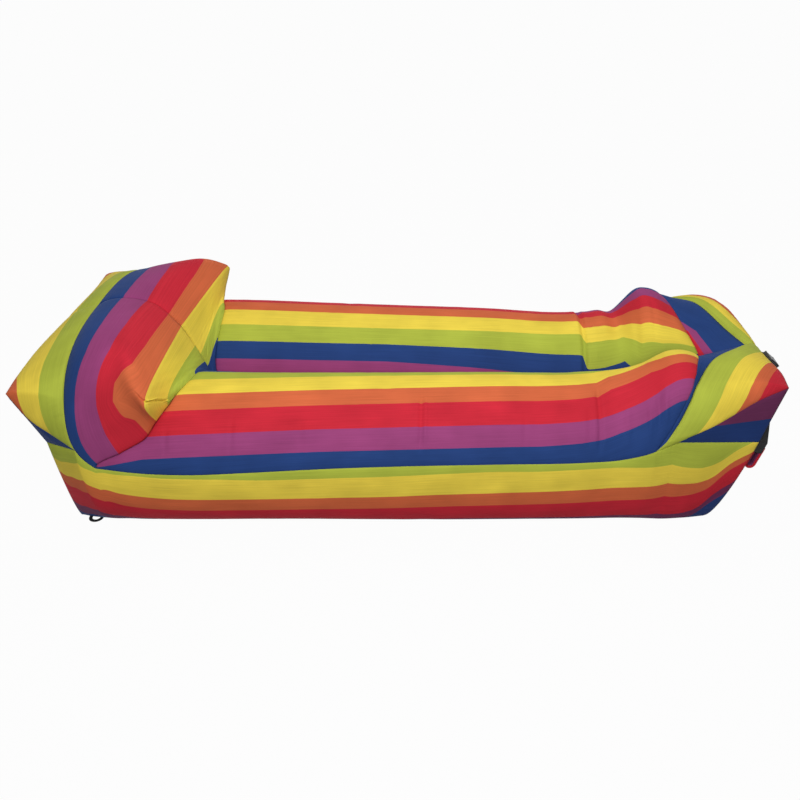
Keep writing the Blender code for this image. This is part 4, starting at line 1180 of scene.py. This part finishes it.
# Woven webbing: ribs times picks, two waves across and along the band.
def webbingMaterial():
    material, tree, shader = newMaterial("blackWebbing")
    uv = shade(tree, "UVMap", "UV", {}, uv_map="cloth")
    rate = webbing["ribShare"] / webbing["rib"]
    ribs = shade(tree, "TexWave", "Fac", {"Vector": uv, "Scale": rate, "Distortion": webbing["wander"]},
                 bands_direction="Y")
    picks = shade(tree, "TexWave", "Fac", {"Vector": uv, "Scale": rate * webbing["pickRatio"]},
                  bands_direction="X")
    woven = shade(tree, "Math", 0, {0: ribs, 1: picks}, operation="MULTIPLY")
    bump = {"Height": woven, "Strength": webbing["bump"], "Distance": webbing["bumpDepth"]}
    feed(tree, shader, {
        "Base Color": shade(tree, "Mix", "Result", {
            "A": webbing["dark"], "B": webbing["light"], "Factor": woven,
        }, data_type="RGBA"),
        "Normal": shade(tree, "Bump", "Normal", bump),
        "Roughness": webbing["roughness"],
        "Specular IOR Level": webbing["specular"],
        "Sheen Weight": webbing["sheen"],
    })
    return material


# Vectors divided by their own lengths.
def unit(vectors):
    return vectors / np.linalg.norm(vectors, axis=-1, keepdims=True)


# Flat band carried along a path: a slab with rounded edges, a superellipse, whose width lies along the way
# given at each point. The path is first laid out in small cells and its bends are eased.
def bandGrids(path, ways, width):
    path, ways = np.array(path), np.array(ways)
    run = np.concatenate([[0.0], np.cumsum(np.linalg.norm(np.diff(path, axis=0), axis=1))])
    at = np.linspace(0.0, run[-1], max(8, round(run[-1] / webbing["cell"])))
    path, ways = (np.stack([np.interp(at, run, rows[:, k]) for k in range(3)], -1) for rows in (path, ways))
    for _ in range(webbing["easing"]):
        path[1:-1] = (path[:-2] + 2 * path[1:-1] + path[2:]) / 4
    ahead = unit(np.gradient(path, axis=0))
    flatWay = unit(ways - ahead * (ways * ahead).sum(1, keepdims=True))
    proud = np.cross(ahead, flatWay)
    angle = np.linspace(0.0, 2 * np.pi, webbing["ringCells"] + 1)
    cos, sin = np.cos(angle), np.sin(angle)
    wide = np.sign(cos) * np.abs(cos) ** webbing["squareness"][0] * width / 2
    thick = np.sign(sin) * np.abs(sin) ** webbing["squareness"][1] * webbing["thickness"] / 2
    points = path[:, None] + flatWay[:, None] * wide[:, None] + proud[:, None] * thick[:, None]
    points[:, -1] = points[:, 0]
    pattern = paired(at[:, None], wide)
    caps = []
    for row, turned in ((0, False), (-1, True)):
        ring = points[row]
        cap = np.stack([ring, np.broadcast_to(ring[:-1].mean(0), ring.shape)])
        caps.append((cap, np.stack([pattern[row], 0 * pattern[row]]), turned))
    return [(points, pattern, False)] + caps


def faceOut(work):
    bmesh.ops.recalc_face_normals(work, faces=work.faces)


# Band of webbing, with its faces turned outwards.
def addBand(name, path, ways, width, node):
    piece = gridPiece(name, bandGrids(path, ways, width), blackWebbing)
    rework(piece.data, faceOut)
    return standIn(piece, node)


# Closing strap: sewn round a buckle bar, led down to the roll's end and hemmed over its flat end.
def strapPath(side, back):
    lean = math.radians(buckle["lean"])
    face = np.array((math.cos(lean), 0.0, -math.sin(lean)))
    up = np.array((math.sin(lean), 0.0, math.cos(lean)))
    middle = footEdge(near, stations[-1]) + (buckle["reach"], buckle["side"], buckle["lift"])
    top, out, down = rollFrame()
    thickness = webbing["thickness"]
    bar = middle + (0.0, back + side * buckle["barOffset"], 0.0)
    wrap = buckle["barRadius"] + roll["gap"] + thickness / 2
    ends = roll["halfLength"] + roll["gap"] + thickness / 2

    def rollPoint(y, level):
        return np.array((top[0], side * y, top[2])) + down * level

    crest = -roll["radius"] - roll["gap"] - thickness
    landing = rollPoint(ends - thickness / 2, crest)
    run = landing - bar
    run = unit(run - up * (run @ up))
    lift = unit(face - run * (face @ run))
    fold = 2 * thickness
    start = bar - lift * wrap
    path = [start + run * webbing["tail"] * distance + lift * (fold + (2 * wrap - fold) * share)
            for distance, share in webbing["tailShares"]]
    turns = np.radians(np.linspace(0, 180, webbing["barPoints"]))
    path += [bar + lift * wrap * math.cos(a) - run * wrap * math.sin(a) for a in turns]
    turned = len(path)
    steps = webbing["leadSteps"]
    path += [start + (landing - start) * k / steps for k in range(1, steps)]
    count = len(path) - 1
    shares = np.clip((np.arange(len(path)) - turned + 1) / (count - turned + 1), 0, 1)
    ways = [up * (1 - share) - out * share for share in shares]
    path.append(landing)
    path.append(rollPoint(ends + thickness * webbing["hemShare"], crest + thickness))
    path.append(rollPoint(ends, crest + 3 * thickness))
    path.append(rollPoint(ends, crest + 3 * thickness + webbing["hem"]))
    ways += [-out] * (len(path) - len(ways))
    return path, ways


# Loop for a peg: a flat band that leaves the side panel, turns round a half circle and comes back.
def stakeLoopPath():
    x = stakeLoop["placeShare"] * shape["halfLength"]
    half, radius = stakeLoop["halfWidth"], stakeLoop["radius"]
    table = np.array(sideFootShares)
    places = (x + np.array((-half, 0.0, half))) / shape["halfLength"]
    ground = smoothRun(table[:, 4], table[:, 5], places).max() * shape["groundHalfWidth"]
    start = -(ground + stakeLoop["gap"])
    turn = start - stakeLoop["reach"] + half
    z = webbing["thickness"] / 2
    path = [(x + radius, start, z)]
    bends = np.radians(np.linspace(0, -180, stakeLoop["bendPoints"]))
    path += [(x + radius * math.cos(a), turn + radius * math.sin(a), z) for a in bends]
    path.append((x - radius, start, z))
    run = np.gradient(np.array(path), axis=0)
    return path, unit(np.stack([-run[:, 1], run[:, 0], 0 * run[:, 0]], -1))


blackWebbing = webbingMaterial()
addBand("nearStrap", *strapPath(near, buckle["socketBack"]), webbing["width"], "near_strap")
addBand("farStrap", *strapPath(far, buckle["clipBack"]), webbing["width"], "far_strap")
addBand("stakeLoop", *stakeLoopPath(), stakeLoop["band"], "stake_loop")
print("roll and webbing made")

# Plastics: colour, colour where it is worn, and the range of roughness
plastics = {
    "blackPlastic": ((0.008, 0.008, 0.009), (0.020, 0.020, 0.022), (0.28, 0.46)),
    "stripPlastic": ((0.70, 0.72, 0.74), (0.80, 0.81, 0.82), (0.34, 0.52)),
}
plasticLook = {"grain": 2400.0, "grainDetail": 3.0, "patches": 160.0, "bump": 0.25, "bumpDepth": 0.0002}


# Moulded plastic: a fine grain in the bump, with slow unevenness of the colour and the gloss.
def plastic(name, colour, worn, roughness):
    material, tree, shader = newMaterial(name)
    place = shade(tree, "TexCoord", "Object", {})
    grain = noise(tree, place, plasticLook["grain"], plasticLook["grainDetail"])
    patch = noise(tree, place, plasticLook["patches"])
    bump = {"Height": grain, "Strength": plasticLook["bump"], "Distance": plasticLook["bumpDepth"]}
    tones = {"A": (*colour, 1.0), "B": (*worn, 1.0), "Factor": patch}
    rough = {"Value": patch, "To Min": roughness[0], "To Max": roughness[1]}
    feed(tree, shader, {
        "Base Color": shade(tree, "Mix", "Result", tones, data_type="RGBA"),
        "Normal": shade(tree, "Bump", "Normal", bump),
        "Roughness": shade(tree, "MapRange", "Result", rough),
    })
    return material


moulded = {name: plastic(name, *look) for name, look in plastics.items()}
finishes = {
    "buckle_socket": "blackPlastic",
    "buckle_clip": "blackPlastic",
    "upper_prong": "blackPlastic",
    "lower_prong": "blackPlastic",
    "inner_mouth_strip": "stripPlastic",
    "outer_mouth_strip": "stripPlastic",
}
for node, finish in finishes.items():
    nodes[node].data.materials.clear()
    nodes[node].data.materials.append(moulded[finish])
print("buckle and strips finished")

# Camera: where the photograph was taken from
camera = {
    "place": (0.0917 + shape["shiftX"], -2.1963, 1.5516),
    "right": (0.9991, 0.0412, -0.0078),
    "up": (-0.0149, 0.5235, 0.8519),
    "forward": (-0.0392, 0.8510, -0.5237),
    "lens": 38.25,
    "sensor": 36.0,
    "clipStart": 0.05,
}


def addCamera():
    data = bpy.data.cameras.new("camera")
    data.lens = camera["lens"]
    data.sensor_width = camera["sensor"]
    data.clip_start = camera["clipStart"]
    eye = addObject("camera", data)
    turn = Matrix((camera["right"], camera["up"], -Vector(camera["forward"]))).transposed()
    eye.matrix_world = Matrix.Translation(camera["place"]) @ turn.to_4x4()
    bpy.context.scene.camera = eye


studio = {
    "world": 0.35,
    "lamps": {"key": ((0.10, -1.95, 1.85), 34.5), "top": ((0.1, 0.5, 2.3), 14.5)},
    "lampSize": 1.1,
    "aim": (0.0, 0.0, 0.2),
    "glow": 0.97,           # share of the floor that is plain white where it is seen
    "ground": 0.36,
    "groundRoughness": 0.9,
    "halfFloor": 30.0,
    "floorDrop": 0.0006,
}


def addLamp(name, place, power):
    data = bpy.data.lights.new(name, "AREA")
    data.size = studio["lampSize"]
    data.energy = power
    lamp = addObject(name, data)
    lamp.location = place
    lamp.rotation_euler = (Vector(studio["aim"]) - Vector(place)).to_track_quat("-Z", "Y").to_euler()


# One for what the camera, reflections and clear things see, nought for other light.
def seenDirectly(tree):
    rays = tree.nodes.new("ShaderNodeLightPath").outputs
    seen = shade(tree, "Math", 0, {0: rays["Is Camera Ray"], 1: rays["Is Glossy Ray"]}, operation="MAXIMUM")
    return shade(tree, "Math", 0, {0: seen, 1: rays["Is Transmission Ray"]}, operation="MAXIMUM")


# Floor and sky: white to the camera and in reflections, with the object's shadow kept faint on the floor.
def addStudio():
    world = bpy.data.worlds.new("studio")
    bpy.context.scene.world = world
    world.use_nodes = True
    tree = world.node_tree
    strength = {"Value": seenDirectly(tree), "To Min": studio["world"], "To Max": 1.0}
    feed(tree, tree.nodes["Background"], {
        "Color": (1.0, 1.0, 1.0, 1.0),
        "Strength": shade(tree, "MapRange", "Result", strength),
    })

    mesh = bpy.data.meshes.new("floor")
    half = studio["halfFloor"]
    corners = [(-half, -half, 0), (half, -half, 0), (half, half, 0), (-half, half, 0)]
    mesh.from_pydata(corners, [], [(0, 1, 2, 3)])
    floor = addObject("floor", mesh)
    floor.location.z = -studio["floorDrop"]
    material, tree, shader = newMaterial("floorPaint")
    feed(tree, shader, {
        "Base Color": (studio["ground"], studio["ground"], studio["ground"], 1.0),
        "Roughness": studio["groundRoughness"],
        "Specular IOR Level": 0.0,
    })
    share = shade(tree, "Math", 0, {0: seenDirectly(tree), 1: studio["glow"]}, operation="MULTIPLY")
    glow = shade(tree, "Emission", "Emission", {"Strength": 1.0})
    mix = shade(tree, "MixShader", "Shader", {"Fac": share, 1: shader.outputs["BSDF"], 2: glow})
    feed(tree, tree.nodes["Material Output"], {"Surface": mix})
    mesh.materials.append(material)


addCamera()
addStudio()
for name, (place, power) in studio["lamps"].items():
    addLamp(name, place, power)
bpy.context.scene.view_settings.view_transform = "Standard"
print("camera and lights placed")
